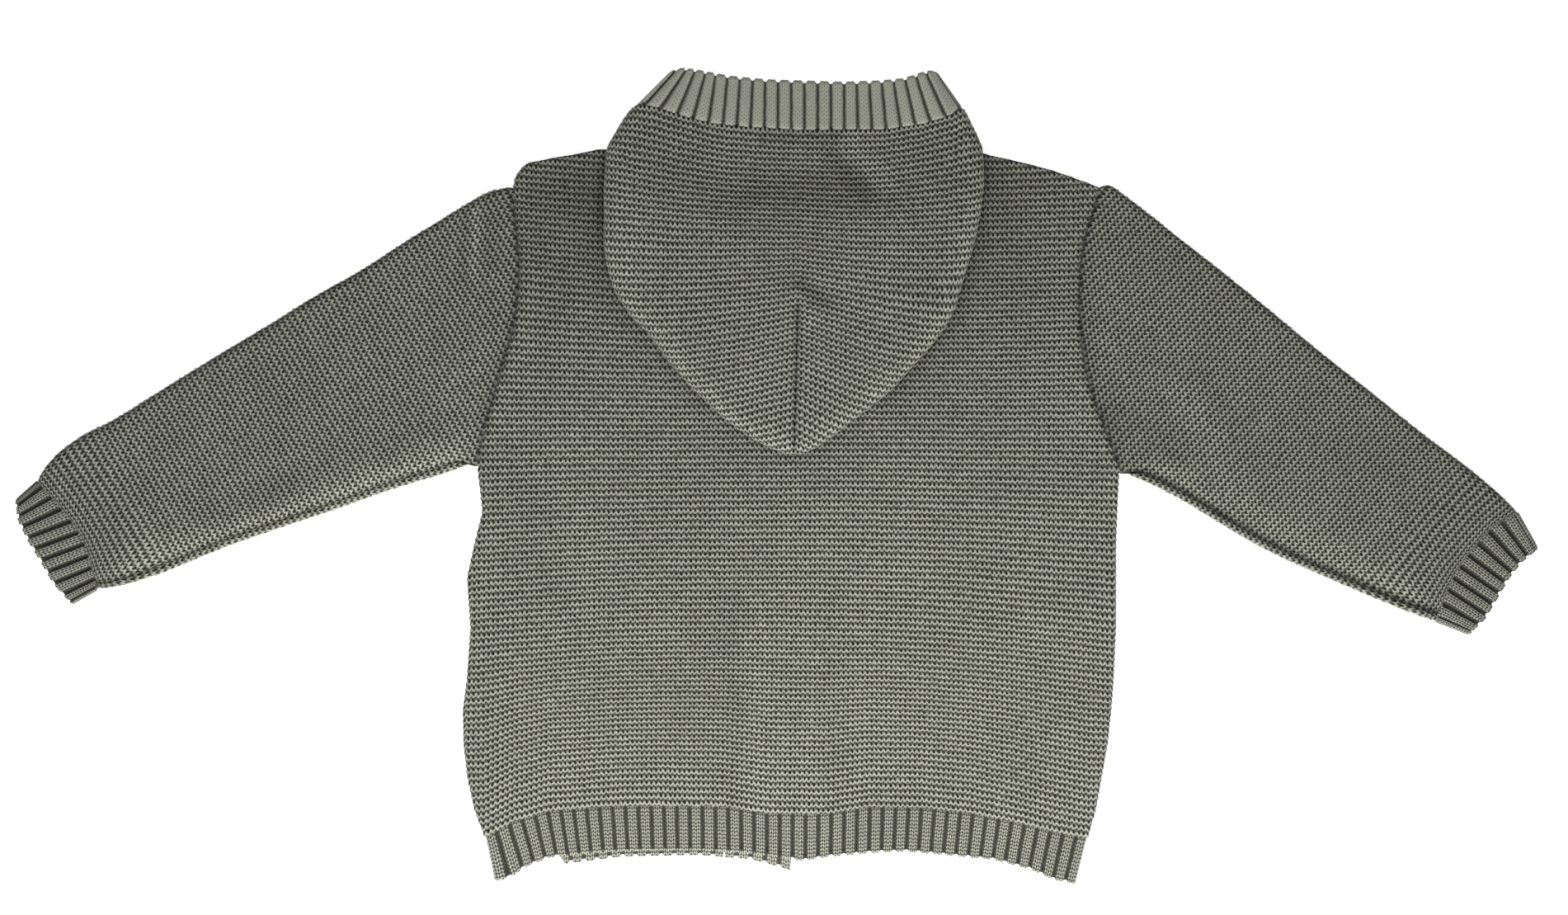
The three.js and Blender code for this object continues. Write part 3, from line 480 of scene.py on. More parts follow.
def rounded_path(points, pieces=12):
    """The path again with a Catmull-Rom curve between its points."""
    ends = np.concatenate([[2 * points[0] - points[1]], points, [2 * points[-1] - points[-2]]])
    share = (np.arange(pieces) / pieces)[None, :, None]
    before, start, end, after = [ends[i:len(ends) - 3 + i, None] for i in range(4)]
    curve = 0.5 * (2 * start + (end - before) * share
                   + (2 * before - 5 * start + 4 * end - after) * share ** 2
                   + (3 * start - before - 3 * end + after) * share ** 3)
    return np.concatenate([curve.reshape(-1, points.shape[1]), points[-1:]])


def unevenness(x, y, size):
    """A soft uneven value near -1 to 1: three crossed sine waves of about that size."""
    return (np.sin(x / size + y / (1.9 * size)) + np.sin(y / (0.8 * size) - x / (2.7 * size) + 1.3)
            + np.sin(x / (0.45 * size) - y / (0.7 * size) + 4.1) * 0.5) / 2.5


def put_cloth(name, points, maps, finish, flip=False, keep=None, painted_shade=None):
    """Makes a mesh from a grid of points: two triangles for each cell of the grid, points in one
    place joined, and triangles with no area left out. maps is the grid's knit coordinates. The
    last argument is the shade painted on each point: 1 where it is painted darkest, as where hardly
    any light reaches it, 0 on open cloth, and below 0 a painted highlight where it is turned to the light."""
    rows, columns = points.shape[:2]
    index = np.arange(rows * columns).reshape(rows, columns)
    a, b, c, d = index[:-1, :-1], index[:-1, 1:], index[1:, 1:], index[1:, :-1]
    cells = np.stack([a, b, c, a, c, d], axis=-1)
    if keep is not None:
        cells = cells[keep[:-1, :-1] | keep[:-1, 1:] | keep[1:, 1:] | keep[1:, :-1]]
    corners = cells.reshape(-1, 3)
    flat = points.reshape(-1, 3)
    _, first, same = np.unique(np.round(flat, 4), axis=0, return_index=True, return_inverse=True)
    joined = same.reshape(-1)[corners]
    whole = (joined[:, 0] != joined[:, 1]) & (joined[:, 1] != joined[:, 2]) & (joined[:, 2] != joined[:, 0])
    corners, joined = corners[whole], joined[whole]
    if flip:
        corners, joined = corners[:, ::-1], joined[:, ::-1]
    used, joined = np.unique(joined, return_inverse=True)
    mesh = bpy.data.meshes.new(name)
    mesh.vertices.add(len(used))
    mesh.vertices.foreach_set("co", (flat[first[used]] * MM).astype(np.float32).ravel())
    mesh.loops.add(corners.size)
    mesh.loops.foreach_set("vertex_index", joined.reshape(-1).astype(np.int32))
    mesh.polygons.add(len(corners))
    mesh.polygons.foreach_set("loop_start", np.arange(0, corners.size, 3, dtype=np.int32))
    mesh.update(calc_edges=True)
    knit = mesh.uv_layers.new(name="knit")
    knit.data.foreach_set("uv", maps.reshape(-1, 2)[corners.reshape(-1)].astype(np.float32).ravel())
    mesh.polygons.foreach_set("use_smooth", np.ones(len(corners), bool))
    if painted_shade is not None:
        shade = mesh.attributes.new(name="painted_shade", type="FLOAT", domain="POINT")
        shade.data.foreach_set("value", painted_shade.reshape(-1)[first[used]].astype(np.float32))
    mesh.materials.append(finish)
    piece = bpy.data.objects.new(name, mesh)
    bpy.context.scene.collection.objects.link(piece)
    return piece


def garter(ridges, first, last, seed):
    """Knit coordinates of garter stitch and its relief. Each ridge has three rows of points and
    each stitch two columns: u counts stitches, v counts ridges, and each bump is a little uneven."""
    draw = np.random.default_rng(seed)
    u = np.arange(2 * first, 2 * last + 1) / 2
    kind = np.tile(np.arange(3), ridges)
    between = (np.arange(len(u)) + 2 * first) % 2 == 1
    ridge = np.repeat(np.arange(ridges), 3)[:, None]
    v = ridge + np.where(between, RIDGE_ROWS[kind, 2:3], RIDGE_ROWS[kind, 0:1])
    relief = np.where(between, RIDGE_ROWS[kind, 3:4], RIDGE_ROWS[kind, 1:2])
    v = np.concatenate([v, np.full((1, len(u)), float(ridges))])
    relief = np.concatenate([relief, np.full((1, len(u)), -0.5)])
    relief = relief * (1 + draw.normal(0, 0.16, relief.shape)) + draw.normal(0, 0.03, relief.shape)
    v[1:-1] += draw.normal(0, 0.03, v[1:-1].shape)
    return np.broadcast_to(u, v.shape).copy(), v, relief


def body_row(height, x):
    """Plan y of the body's row of that height: its bow, and near the hem the hem seam's shape."""
    hem_share = ease_off((height - SIDE_BOTTOM) / (HEM_BOW_END - SIDE_BOTTOM))
    lift, bend, middle = (np.interp(height, ROW_BOW[:, 0], ROW_BOW[:, k]) for k in (1, 2, 3))
    bow = lift + bend * (x - middle) ** 2 / 1000
    return height + hem_share * (read(HEM_SEAM, x) - SIDE_BOTTOM) + (1 - hem_share) * bow


def body_lattice(knit, left_edge, right_edge, seed):
    """Plan x and y, knit coordinates and relief of a body panel: garter stitch in columns one
    stitch wide. A row ends in one point on each edge, a bead of yarn in or out from it, and its
    columns past that point all lie there."""
    ridges = round((BODY_TOP - SIDE_BOTTOM) / knit.ridge_pitch)
    stitch = knit.stitch_width
    u, v, relief = garter(ridges, *BODY_COLUMNS, seed)

    def row_height(v):
        return BODY_TOP - (BODY_TOP - SIDE_BOTTOM) * v / ridges

    def row_place(v, x):
        height = row_height(v)
        inside = (v > 0.5) * (v < ridges - 0.5)
        return body_row(height, x) + ROW_WANDER * unevenness(x, height, 23) * inside

    x = u * stitch + 0.5 * unevenness(u * stitch, v * knit.ridge_pitch, 37)
    y = row_place(v, x)
    end_v, end_relief = v.mean(axis=1, keepdims=True), relief.mean(axis=1, keepdims=True)
    for edge, side in ((left_edge, -1), (right_edge, 1)):
        end_y = row_height(end_v)
        for _ in range(4):
            end_x = edge(end_y) + side * EDGE_BEAD * end_relief
            end_y = row_place(end_v, end_x)
        past = side * (x - end_x) > -0.4
        for values, ends in ((x, end_x), (y, end_y), (u, end_x / stitch), (v, end_v), (relief, end_relief)):
            np.copyto(values, np.broadcast_to(ends, values.shape), where=past)
    return x, np.minimum(y, BODY_TOP), np.stack([u, v], axis=-1), relief


def panel(name, lattice, surface, under, side, finish, painted_shade_at=None):
    """A garter panel: its lattice on a surface with the relief along z times side, and beside
    both its edges a rounded turn towards the under height."""
    x, y, maps, relief = lattice
    edge_away = np.minimum(x - x.min(axis=1, keepdims=True), x.max(axis=1, keepdims=True) - x)
    rounding = EDGE_ROUNDING * np.exp(-((edge_away / EDGE_ROUNDING) ** 2))
    z = surface(x, y) + side * (relief - RELIEF_SINK - rounding)
    points = np.stack([x, y, z], axis=-1)

    def turned(column, inwards):
        edge = points[:, column]
        last = edge + [EDGE_TURN * inwards, 0, 0]
        last[:, 2] = under(edge[:, 0], edge[:, 1])
        middle = edge - [EDGE_BULGE * inwards, 0, 0]
        middle[:, 2] = (edge[:, 2] + last[:, 2]) / 2
        return last[:, None], middle[:, None]

    (left_last, left_middle), (right_last, right_middle) = turned(0, 1), turned(-1, -1)
    points = np.concatenate([left_last, left_middle, points, right_middle, right_last], axis=1)
    across, down = np.array([0.7, 0]), np.array([0, 0.3])
    first, last = maps[:, :1], maps[:, -1:]
    maps = np.concatenate([
        first - 2 * across, first - across, maps, last + across, last + 2 * across,
    ], axis=1)
    ends = points[[0, -1]].copy()
    ends[:, :, 2] = under(ends[:, :, 0], ends[:, :, 1])
    points = np.concatenate([ends[:1], points, ends[1:]])
    maps = np.concatenate([maps[:1] - down, maps, maps[-1:] + down])
    painted_shade = painted_shade_at(points[..., 0], points[..., 1]) if painted_shade_at else None
    return put_cloth(name, points, maps, finish, flip=side > 0, painted_shade=painted_shade)


def sleeve_shape(sections, side, turn, cuff_table, seam_shade):
    """The sleeve's own axes, along its length and across it, and by its length the places of its
    upper and lower edge and the height of its flat tube."""
    axis = np.array([math.cos(math.radians(turn)), math.sin(math.radians(turn))])
    across = np.array([-axis[1], axis[0]]) * side
    arm_y = np.linspace(sections[0, 1], sections[0, 3], 24)
    arm_x = read(BODY, np.minimum(arm_y, SLEEVE_HEAD), 1 if side < 0 else 2) + side * SEAM_GAP
    armhole = np.stack([arm_x, arm_y], axis=-1)
    upper = rounded_path(np.concatenate([armhole[:1], sections[:, :2]]), 6)
    lower = np.concatenate([armhole, rounded_path(sections[1:, 2:4], 6)])
    middle = (sections[:, :2] + sections[:, 2:4]) / 2
    return {
        "axis": axis, "across": across,
        "upper": np.stack([upper @ axis, upper @ across], axis=-1),
        "lower": np.stack([lower @ axis, lower @ across], axis=-1),
        "height": np.stack([middle @ axis, sections[:, 4]], axis=-1),
        "start": float(armhole[0] @ axis), "underarm": float(armhole[-1] @ axis),
        "end": float(sections[-1, :2] @ axis), "cuff": cuff_table, "seam_shade": seam_shade,
    }


def sleeve_section(shape, row):
    """The flat tube's section in a row: its share of closing past the underarm, the height of its
    middle, its radius, its upper and lower edge, the lower corner's radius, half its way round,
    and the arc lengths at which it starts and ends. It is a quarter round fold, a flat face and
    a quarter round corner, and the same below. It is open at the armhole, and past that its two
    ends meet in a seam on the face."""
    high, low = read(shape["height"], row) - 0.3, 0.45
    radius = (high - low) / 2
    top_edge = read(shape["upper"], row) - 0.35
    low_edge = read(shape["lower"], row) + 0.35
    folded = np.clip((row - shape["underarm"]) / 7, 0, 1)
    corner = np.minimum(1.4 + (radius - 1.4) * folded, radius)
    flat = np.maximum(top_edge - low_edge - radius - corner, 0.5)
    corner_arc = (corner + radius) / 2 * np.pi / 2
    half = radius * np.pi / 2 + flat + corner_arc
    opening = 0.4 * corner_arc * (1 - folded)
    first, last = opening - half - SEAM_INSET * folded, half - SEAM_INSET * folded - opening
    return folded, (high + low) / 2, radius, top_edge, low_edge, corner, half, first, last


def sleeve_points(shape, s, row):
    """Point, outward normal and distance to the seam of the flat tube at an arc length s from its
    upper fold, positive over the upper face. Past its lower corner it is on the other face. At
    the armhole its edges turn in between the back and the front."""
    folded, middle, radius, top_edge, low_edge, corner, half, first, last = sleeve_section(shape, row)
    fold_arc, corner_arc = radius * np.pi / 2, (corner + radius) / 2 * np.pi / 2
    flat = half - fold_arc - corner_arc
    past = np.abs(s) > half
    t = np.where(past, 2 * half - np.abs(s), np.abs(s))
    face = np.where((s > 0) ^ past, 1.0, -1.0)
    fold_turn = np.clip(t / fold_arc, 0, 1) * np.pi / 2
    corner_turn = np.clip((t - fold_arc - flat) / corner_arc, 0, 1) * np.pi / 2
    in_corner = t > fold_arc + flat
    b = top_edge - radius * (1 - np.cos(fold_turn))
    b = b - np.clip(t - fold_arc, 0, flat) - corner * np.sin(corner_turn)
    level = np.where(in_corner, np.cos(corner_turn), np.sin(fold_turn))
    z = middle + face * radius * level
    seam_away = np.minimum(last - s, s - first)
    tuck = (1 - folded) * np.exp(-((np.maximum(seam_away, 0) / 0.9) ** 2))
    b = b - ARMHOLE_TUCK * tuck
    z = z * (1 - tuck) + (BACK_BASE - 0.2 + 0.15 * (face - 1)) * tuck
    normal_b = np.where(in_corner, -np.sin(corner_turn), np.cos(fold_turn)) * (1 - tuck)
    normal = np.concatenate([normal_b[..., None] * shape["across"], (face * level)[..., None]], axis=-1)
    share = np.clip((top_edge - b) / (top_edge - low_edge), 0, 1)
    line = row[..., None] * shape["axis"] + b[..., None] * shape["across"]
    ends = np.stack([read(shape["cuff"], share, 1), read(shape["cuff"], share, 2)], axis=-1)
    near_cuff = np.clip((row - shape["end"] + 34) / 34, 0, 1)[..., None] ** 2
    plan = line * (1 - near_cuff) + (ends - 0.35 * shape["axis"]) * near_cuff
    return plan, z, normal, seam_away, folded


def knit_sleeve(name, knit, shape, seed, finish):
    """A sleeve knitted in rows across its axis, all round its flat tube, and closed at its seam.
    Its relief stands along the tube's normal, stronger at the folds, and dips in the seam."""
    ridges = SLEEVE_RIDGES
    reach = int(np.ceil(150 / knit.stitch_width))
    u, v, relief = garter(ridges, -reach, reach, seed)
    end_v, end_relief = v.mean(axis=1, keepdims=True), relief.mean(axis=1, keepdims=True)
    s = u * knit.stitch_width
    length = shape["end"] - shape["start"]
    *_, first, last = sleeve_section(shape, shape["start"] + length * end_v / ridges)
    past = (s > last - 0.4) | (s < first + 0.4)
    s = np.where(past, np.where(s > 0, last, first), s)
    v = np.where(past, end_v, v)
    relief = np.where(past, end_relief, relief)
    row = shape["start"] + length * v / ridges
    from_seam = np.minimum(last - s, s - first)
    inside = np.clip(np.minimum(v, ridges - v), 0, 1) * np.clip(from_seam / 4, 0, 1)
    row = row + ROW_WANDER * unevenness(row, s, 21) * inside
    plan, z, normal, seam_away, folded = sleeve_points(shape, s, row)
    folds = fold_rise(SLEEVE_FOLDS, plan[..., 0], plan[..., 1]) * np.maximum(normal[..., 2], 0)
    ends = np.clip(np.minimum(v, ridges - v) / 3, 0, 1)
    wave = CLOTH_WAVE * unevenness(plan[..., 0], plan[..., 1], 17) * (normal[..., 2] > 0.5)
    z = z + folds * ends + wave
    points = np.concatenate([plan, z[..., None]], axis=-1)
    edge_in = 0.7 * (1 - np.clip(np.minimum(v, ridges - v) / 0.4, 0, 1))
    dip = SEAM_DIP * folded * np.exp(-((np.maximum(seam_away, 0) / 2.2) ** 2))
    beads = relief * np.clip(seam_away, folded, 1) * (1 + EDGE_BEAD * (1 - np.abs(normal[..., 2])))
    points = points + normal * (beads - dip - edge_in)[..., None]
    points[..., 2] = np.maximum(points[..., 2], LOWEST)
    maps = np.stack([s / knit.stitch_width, v], axis=-1)
    # Painted shade: a dark line along the seam and shade in the open armhole, and a painted highlight where
    # the tube's sides turn to the light
    at_seam = np.maximum(seam_away, 0)
    seam_shadow = shape["seam_shade"] * folded * np.exp(-((at_seam / 2) ** 2))
    armhole = 0.85 * np.exp(-((at_seam / 1.9) ** 2)) + 0.28 * np.exp(-((at_seam / 8) ** 2))
    rim_highlight = 0.45 * (1 - np.abs(normal[..., 2]))
    painted_shade = seam_shadow + fold_rise(SLEEVE_SHADES, plan[..., 0], plan[..., 1]) - rim_highlight + (1 - folded) * armhole
    return put_cloth(name, points, maps, finish, flip=shape["axis"][0] < 0, painted_shade=painted_shade)


def hood_outline():
    """Side edges of the hood in plan, from the left of the mouth round the point to the right."""
    left = HOOD[::-1][:, [1, 0]]
    right = HOOD[:, [2, 0]]
    point = np.array([[7.3, 8.6]])
    path = rounded_path(np.concatenate([left, point, right]), 5)
    before = 2 * path[0] - path[4]
    after = 2 * path[-1] - path[-5]
    return np.concatenate([[before], path, [after]])


def from_outline(path, x, y):
    """Distance inside a path in plan, negative outside, and the unit direction outwards."""
    point = np.stack([x, y], axis=-1)[..., None, :]
    start, run = path[:-1], np.diff(path, axis=0)
    share = np.clip(((point - start) * run).sum(-1) / (run ** 2).sum(-1), 0, 1)
    off = point - start - share[..., None] * run
    away = np.linalg.norm(off, axis=-1)
    near = away.argmin(axis=-1)[..., None]
    best = np.take_along_axis(away, near, axis=-1)[..., 0]
    side = np.take_along_axis(off, near[..., None], axis=-2)[..., 0, :]
    cut = run[near[..., 0]]
    outwards = np.stack([cut[..., 1], -cut[..., 0]], axis=-1)
    outwards = outwards / np.linalg.norm(outwards, axis=-1, keepdims=True)
    inside = (side * outwards).sum(-1) < 0
    direction = side / np.maximum(best, 1e-6)[..., None] * np.where(inside, -1, 1)[..., None]
    direction = np.where((best > 0.4)[..., None], direction, outwards)
    return np.where(inside, best, -best), direction


def hood_row(height, x):
    """Plan y of the hood's row that crosses its seam at a height: its slope changes evenly from
    the seam outwards, and near the mouth the row takes the band seam's shape."""
    away = np.abs(x - hood_seam_x(height))
    is_left = x < hood_seam_x(height)
    near, far = (
        np.tan(np.radians(np.where(is_left, read(HOOD_ROWS, height, k), read(HOOD_ROWS, height, k + 2))))
        for k in (1, 2)
    )
    away = np.sqrt(away ** 2 + 1) - 1
    fall = near * away + (far - near) * away ** 2 / (2 * HOOD_SIDE_REACH)
    top = BAND_SEAM[:, 1].min()
    sag = np.clip((height - HOOD_SAG_START) / (top - HOOD_SAG_START), 0, 1) ** 1.5
    return height - fall * (1 - sag) + (read(BAND_SEAM, x) - top) * sag


def hood_heights(ridges):
    """Heights of the hood's rows at its seam, from the band down, each a pitch below the last."""
    heights = [BAND_SEAM[:, 1].min() - SEAM_GAP]
    for _ in range(ridges):
        heights.append(heights[-1] - float(read(HOOD_ROWS, heights[-1], 5)))
    return np.array(heights)


def knit_hood(knit, seed, finish):
    """The hood's upper cloth in curved rows, bent round its side edges by its distance from the
    outline: the arc length past the bend turns it down and under, over a half round edge. Its
    dart seam is a groove, and its first row is tucked under the band."""
    u, v, relief = garter(HOOD_RIDGES, *HOOD_COLUMNS, seed)
    height = np.interp(v, np.arange(HOOD_RIDGES + 1), hood_heights(HOOD_RIDGES))
    off_seam = u * knit.stitch_width
    x = hood_seam_x(height) + off_seam
    x = x + 0.4 * unevenness(x, height, 29) * (1 - np.exp(-((off_seam / 6) ** 2)))
    y = hood_row(height, x) + ROW_WANDER * unevenness(x, height, 19) * (v > 0.5)
    distance, outwards = from_outline(hood_outline(), x, y)
    turn = np.clip((HOOD_BEND - distance) / HOOD_BEND, 0, np.pi)
    inset = HOOD_BEND * (1 - np.sin(turn)) + 0.4
    shift = np.where(turn > 0, distance - inset, 0)[..., None]
    plan = np.stack([x, y], axis=-1) + outwards * shift
    px, py = plan[..., 0], plan[..., 1]
    under = np.where(py > HOOD_FLOOR[0, 0], read(HOOD_FLOOR, py), back_top(px, py) + 0.9)
    in_seam = np.clip((HOOD_SEAM_TOP - 2 - height) / 2, 0, 1)
    groove = HOOD_SEAM_DEPTH * np.exp(-((off_seam / 0.7) ** 2)) * in_seam * (turn == 0)
    top = hood_top(px, py) + fold_rise(HOOD_CREASES, px, py) + 0.3 * unevenness(px, py, 15) - RELIEF_SINK
    z = under + (top - groove - under) * (1 + np.cos(turn)) / 2
    normal = np.concatenate([outwards * np.sin(turn)[..., None], np.cos(turn)[..., None]], axis=-1)
    points = np.concatenate([plan, z[..., None]], axis=-1) + normal * relief[..., None]
    first_row = (1 - np.clip(v / 0.3, 0, 1)) * np.clip(distance / 5, 0, 1)
    points = points + first_row[..., None] * [0, 1.6, -1.3]
    points[..., 2] = np.maximum(points[..., 2], LOWEST)
    # Painted shade in the dart seam and under the turned-over edge, and a painted highlight along the rim
    # inside the outline
    painted_shade = in_seam * np.exp(-((off_seam / 0.8) ** 2)) + 0.8 * np.clip((turn - 1.3) / 0.9, 0, 1)
    rim_highlight = 0.3 * np.exp(-(((distance - 3.5) / 4.5) ** 2)) * (turn < 1.3)
    painted_shade = np.clip(painted_shade + fold_rise(HOOD_SHADES, px, py) - rim_highlight, -0.35, 1)
    return put_cloth("hood_cloth", points, np.stack([u, v], axis=-1), finish, True, turn < np.pi, painted_shade)


def hood_lining_side(knit, finish):
    """The hood's under layer on the back: plain rows between its edges, a little inside them."""
    height = np.linspace(12, 138, 64)[:, None]
    share = np.linspace(0, 1, 61)[None]
    left, right = read(HOOD, height, 1) + 3, read(HOOD, height, 2) - 3
    x = left + (right - left) * share
    y = np.broadcast_to(height, x.shape)
    z = back_top(x, y) + 1.1
    maps = np.stack([x / knit.stitch_width, -y / knit.ridge_pitch], axis=-1)
    return put_cloth("hood_under", np.stack([x, y, z], axis=-1), maps, finish)


def ribbed(name, seam, edge, facing, ribs, finish, closed=False, step=0.8, quiet=1.0):
    """A ribbed strip between a seam path and a free edge path: its outer side stands half a wall
    out along the facing direction, lower in the recesses of its ribs, and turns over a rounded
    edge to a plainer inner side. step is the distance of its rows, quiet the relief's share."""
    place = (np.arange(ribs)[:, None] + RIB_PROFILE[None, :, 0]).ravel()
    profile = np.tile(RIB_PROFILE[:, 1], ribs)
    last = ribs if closed else ribs - 1 + RIB_SHARE
    if closed:
        place, profile = np.append(place, ribs), np.append(profile, RIB_PROFILE[0, 1])
    whole = place <= last + 1e-6
    place, profile = place[whole], profile[whole]
    grid = np.linspace(0, 1, len(seam))
    seam_at, edge_at, facing_at = (
        np.stack([np.interp(place / last, grid, path[:, k]) for k in range(3)], axis=-1)
        for path in (seam, edge, facing)
    )
    facing_at = facing_at / np.linalg.norm(facing_at, axis=-1, keepdims=True)
    length = float(np.median(np.linalg.norm(edge_at - seam_at, axis=-1)))
    run = (edge_at - seam_at) / length
    edge_at = edge_at + run * (SCALLOP * (profile + 0.5))[:, None]
    seam_at = seam_at - run * SEAM_TUCK
    length = length + SEAM_TUCK
    rows = max(6, round(length / step))
    down = np.concatenate([np.linspace(0, 1, rows), RIB_INSIDE[:, 0]])[:, None]
    from_seam = down[:rows] * length
    to_edge = length - from_seam
    rounding = np.clip(1 - to_edge / RIB_ROUND, 0, 1)
    opening = np.clip(from_seam / RIB_RISE, 0.3, 1) * np.clip(to_edge / RIB_CLOSE, 0.3, 1)
    rise = profile * opening * quiet - SEAM_TUCK * np.clip(1 - from_seam / RIB_RISE, 0, 1)
    height = np.concatenate([
        RIB_WALL / 2 * np.sqrt(1 - 0.75 * rounding ** 2) + rise - 0.15,
        np.broadcast_to(RIB_INSIDE[:, 1:], (len(RIB_INSIDE), len(place))),
    ])
    points = seam_at[None] + (edge_at - seam_at)[None] * down[..., None]
    points = points + facing_at[None] * height[..., None]
    maps = np.stack(np.broadcast_arrays(place[None] * 3, down * length / 1.5), axis=-1)
    points, maps = (np.concatenate([part, part[:1]]) for part in (points, maps))
    if not closed:
        ends = [np.broadcast_to(points[:, k].mean(axis=0), (len(points), 1, 3)) for k in (0, -1)]
        points = np.concatenate([ends[0], points, ends[1]], axis=1)
        maps = np.concatenate([maps[:, :1], maps, maps[:, -1:]], axis=1)
    return put_cloth(name, points, maps, finish)


def flat_strip(seam_xy, edge_xy, base, side):
    """Seam, edge and facing paths of a rib that lies flat on a base height, facing up or down."""
    def lifted(plan):
        z = base(plan[:, 0], plan[:, 1]) + RIB_WALL / 2
        return np.concatenate([plan, z[:, None]], axis=-1)
    facing = np.zeros((len(seam_xy), 3))
    facing[:, 2] = side
    return lifted(seam_xy), lifted(edge_xy), facing


def back_painted_shade(x, y, outline):
    """How much shade is painted on the back: a painted shadow beside the hood, the sum of a narrow and
    a wide falling exponential, painted shade in the armholes, a bell curve, and the listed painted
    shades and painted light."""
    hood_away, _ = from_outline(outline, x, y)
    shade_away = np.maximum(-hood_away, 0)
    (left, left_depth), (right, middle_depth), (_, right_depth) = HOOD_CONTACT_SHADOW
    depth = np.where(x > right, right_depth, np.where(x < left, left_depth, middle_depth))
    wide = 0.25 + 0.3 * np.clip((y - 40) / 60, 0, 1)
    line, soft = np.exp(-shade_away / CONTACT_SHADOW_WIDTH), np.exp(-shade_away / CONTACT_SHADOW_REACH)
    at_arm = 0.3 * np.exp(-((from_sides(x, y) / 1.6) ** 2)) * (y > 5) * (y < 122)
    painted_shade = depth * ((1 - wide) * line + wide * soft) + at_arm + fold_rise(BACK_SHADES, x, y)
    return np.clip(painted_shade, -0.3, 1)


def back_hem_paths(width):
    """The back hem's seam, free edge and facing: level with the back, and leaning inwards."""
    share = np.linspace(0, 1, 160)
    seam_x = HEM_SEAM[0, 0] + 0.6 + (width - 1.2) * share
    edge_x = seam_x + read(HEM_LEAN, seam_x)
    seam = np.stack([seam_x, read(HEM_SEAM, seam_x) - 0.2], axis=-1)
    edge = np.stack([edge_x, read(HEM_EDGE, edge_x)], axis=-1)
    return flat_strip(seam, edge, lambda x, y: back_under(x, np.maximum(y, SIDE_BOTTOM)) + 0.1, 1)


def beside_band(y, inwards):
    """Plan x of a front's edge along its band, which is on the side that inwards points to."""
    return band_centre(y) - inwards * (BAND_WIDTH / 2 + SEAM_GAP)


def knit_front(name, knit, side, inwards, base, seed, finish):
    """A front from the body's side to its neckline and band. Its lower rows are stretched evenly
    down to its hem's straight seam, and it faces down."""
    def band_edge(y):
        return np.where(y > FRONT_NECK, read(NECKLINE, y, side), beside_band(y, inwards))

    def outer_edge(y):
        return read(BODY, y, side) + FRONT_INSET * inwards

    def surface(x, y):
        return base(x, y) + np.maximum(0, fold_rise(FRONT_CREASES, x, y)) + 0.15

    def under(x, y):
        return base(x, y) + GARTER_WALL - RELIEF_SINK

    edges = (outer_edge, band_edge) if side == 1 else (band_edge, outer_edge)
    x, y, maps, relief = body_lattice(knit, *edges, seed)
    below = np.minimum(y - HEM_BOW_END, 0)
    stretch = (FRONT_HEM_SEAM - HEM_BOW_END) / (read(HEM_SEAM, x) - HEM_BOW_END)
    return panel(name, (x, y + below * (stretch - 1), maps, relief), surface, under, -1, finish)


def front_hem_paths(side, inwards, base, edge_table):
    """A front hem's seam, free edge and facing, from its right to its left, facing down."""
    def strip(outer_x, row_y, y_at):
        ends = (outer_x, beside_band(row_y, inwards))[::inwards]
        x = ends[0] + (ends[1] - ends[0]) * np.linspace(0, 1, 90)
        return np.stack([x, y_at(x)], axis=-1)

    seam_y = FRONT_HEM_SEAM - SEAM_GAP
    seam = strip(BODY[0, side] + 2 * FRONT_INSET * inwards, FRONT_HEM_SEAM, lambda x: x * 0 + seam_y)
    outer = 0 if side == 1 else -1
    edge = strip(edge_table[outer, 0], edge_table[0, 1], lambda x: read(edge_table, x))
    return [path[::-1] for path in flat_strip(seam, edge, base, -1)]


def cuff_paths(table, side):
    """A cuff's seam, free edge and facing, all round its flat tube: an upper face, a half round
    side, a lower face and the other half round side."""
    face_points, near = 40, 0.03
    turns = np.linspace(-np.pi / 2, np.pi / 2, 9)
    face, flat = np.linspace(near, 1 - near, face_points), np.ones(face_points)
    share = np.concatenate([face, 1 - near + near * np.cos(turns), face[::-1], near - near * np.cos(turns)])
    level = np.concatenate([flat, -np.sin(turns), -flat, np.sin(turns)])
    out = np.concatenate([0 * flat, np.cos(turns), 0 * flat, -np.cos(turns)])
    share, level, out = (np.append(part, part[0])[::side] for part in (share, level, out))
    z = CUFF_HEIGHT / 2 + (CUFF_HEIGHT - RIB_WALL) / 2 * level
    across = table[-1, 1:3] - table[0, 1:3]
    across = across / np.linalg.norm(across)
    seam, edge = (
        np.stack([read(table, share, k), read(table, share, k + 1), z], axis=-1) for k in (1, 3)
    )
    return seam, edge, np.concatenate([across * out[:, None], level[:, None]], axis=-1)


def hood_band_paths():
    """The hood band's seam, free edge and facing, from the front neck round the left corner of the
    mouth, over the top and round the right corner, and its length."""
    seam_x = BAND_TOP[0, 0] + (BAND_TOP[-1, 0] - BAND_TOP[0, 0]) * np.linspace(0.02, 0.98, 25)
    edge_x = read(BAND_TOP, seam_x)
    level = HOOD_MOUTH_TOP - RIB_WALL / 2
    over = np.stack(np.broadcast_arrays(
        seam_x, read(BAND_SEAM, seam_x) - 0.1, level,
        edge_x, read(BAND_EDGE, edge_x), level - HOOD_BAND_DROP, 90.0,
    ), axis=-1)
    stations = np.concatenate([LEFT_BAND_TURN, over, RIGHT_BAND_TURN[::-1]])
    middle = (stations[:, :3] + stations[:, 3:6]) / 2
    length = float(np.linalg.norm(np.diff(middle, axis=0), axis=1).sum())
    path = along(np.concatenate([middle, stations], axis=1), np.linspace(0, 1, 240))[:, 3:]
    angle = np.radians(path[:, 6])
    return path[:, :3], path[:, 3:6], np.stack([np.cos(angle), 0 * angle, np.sin(angle)], axis=-1), length


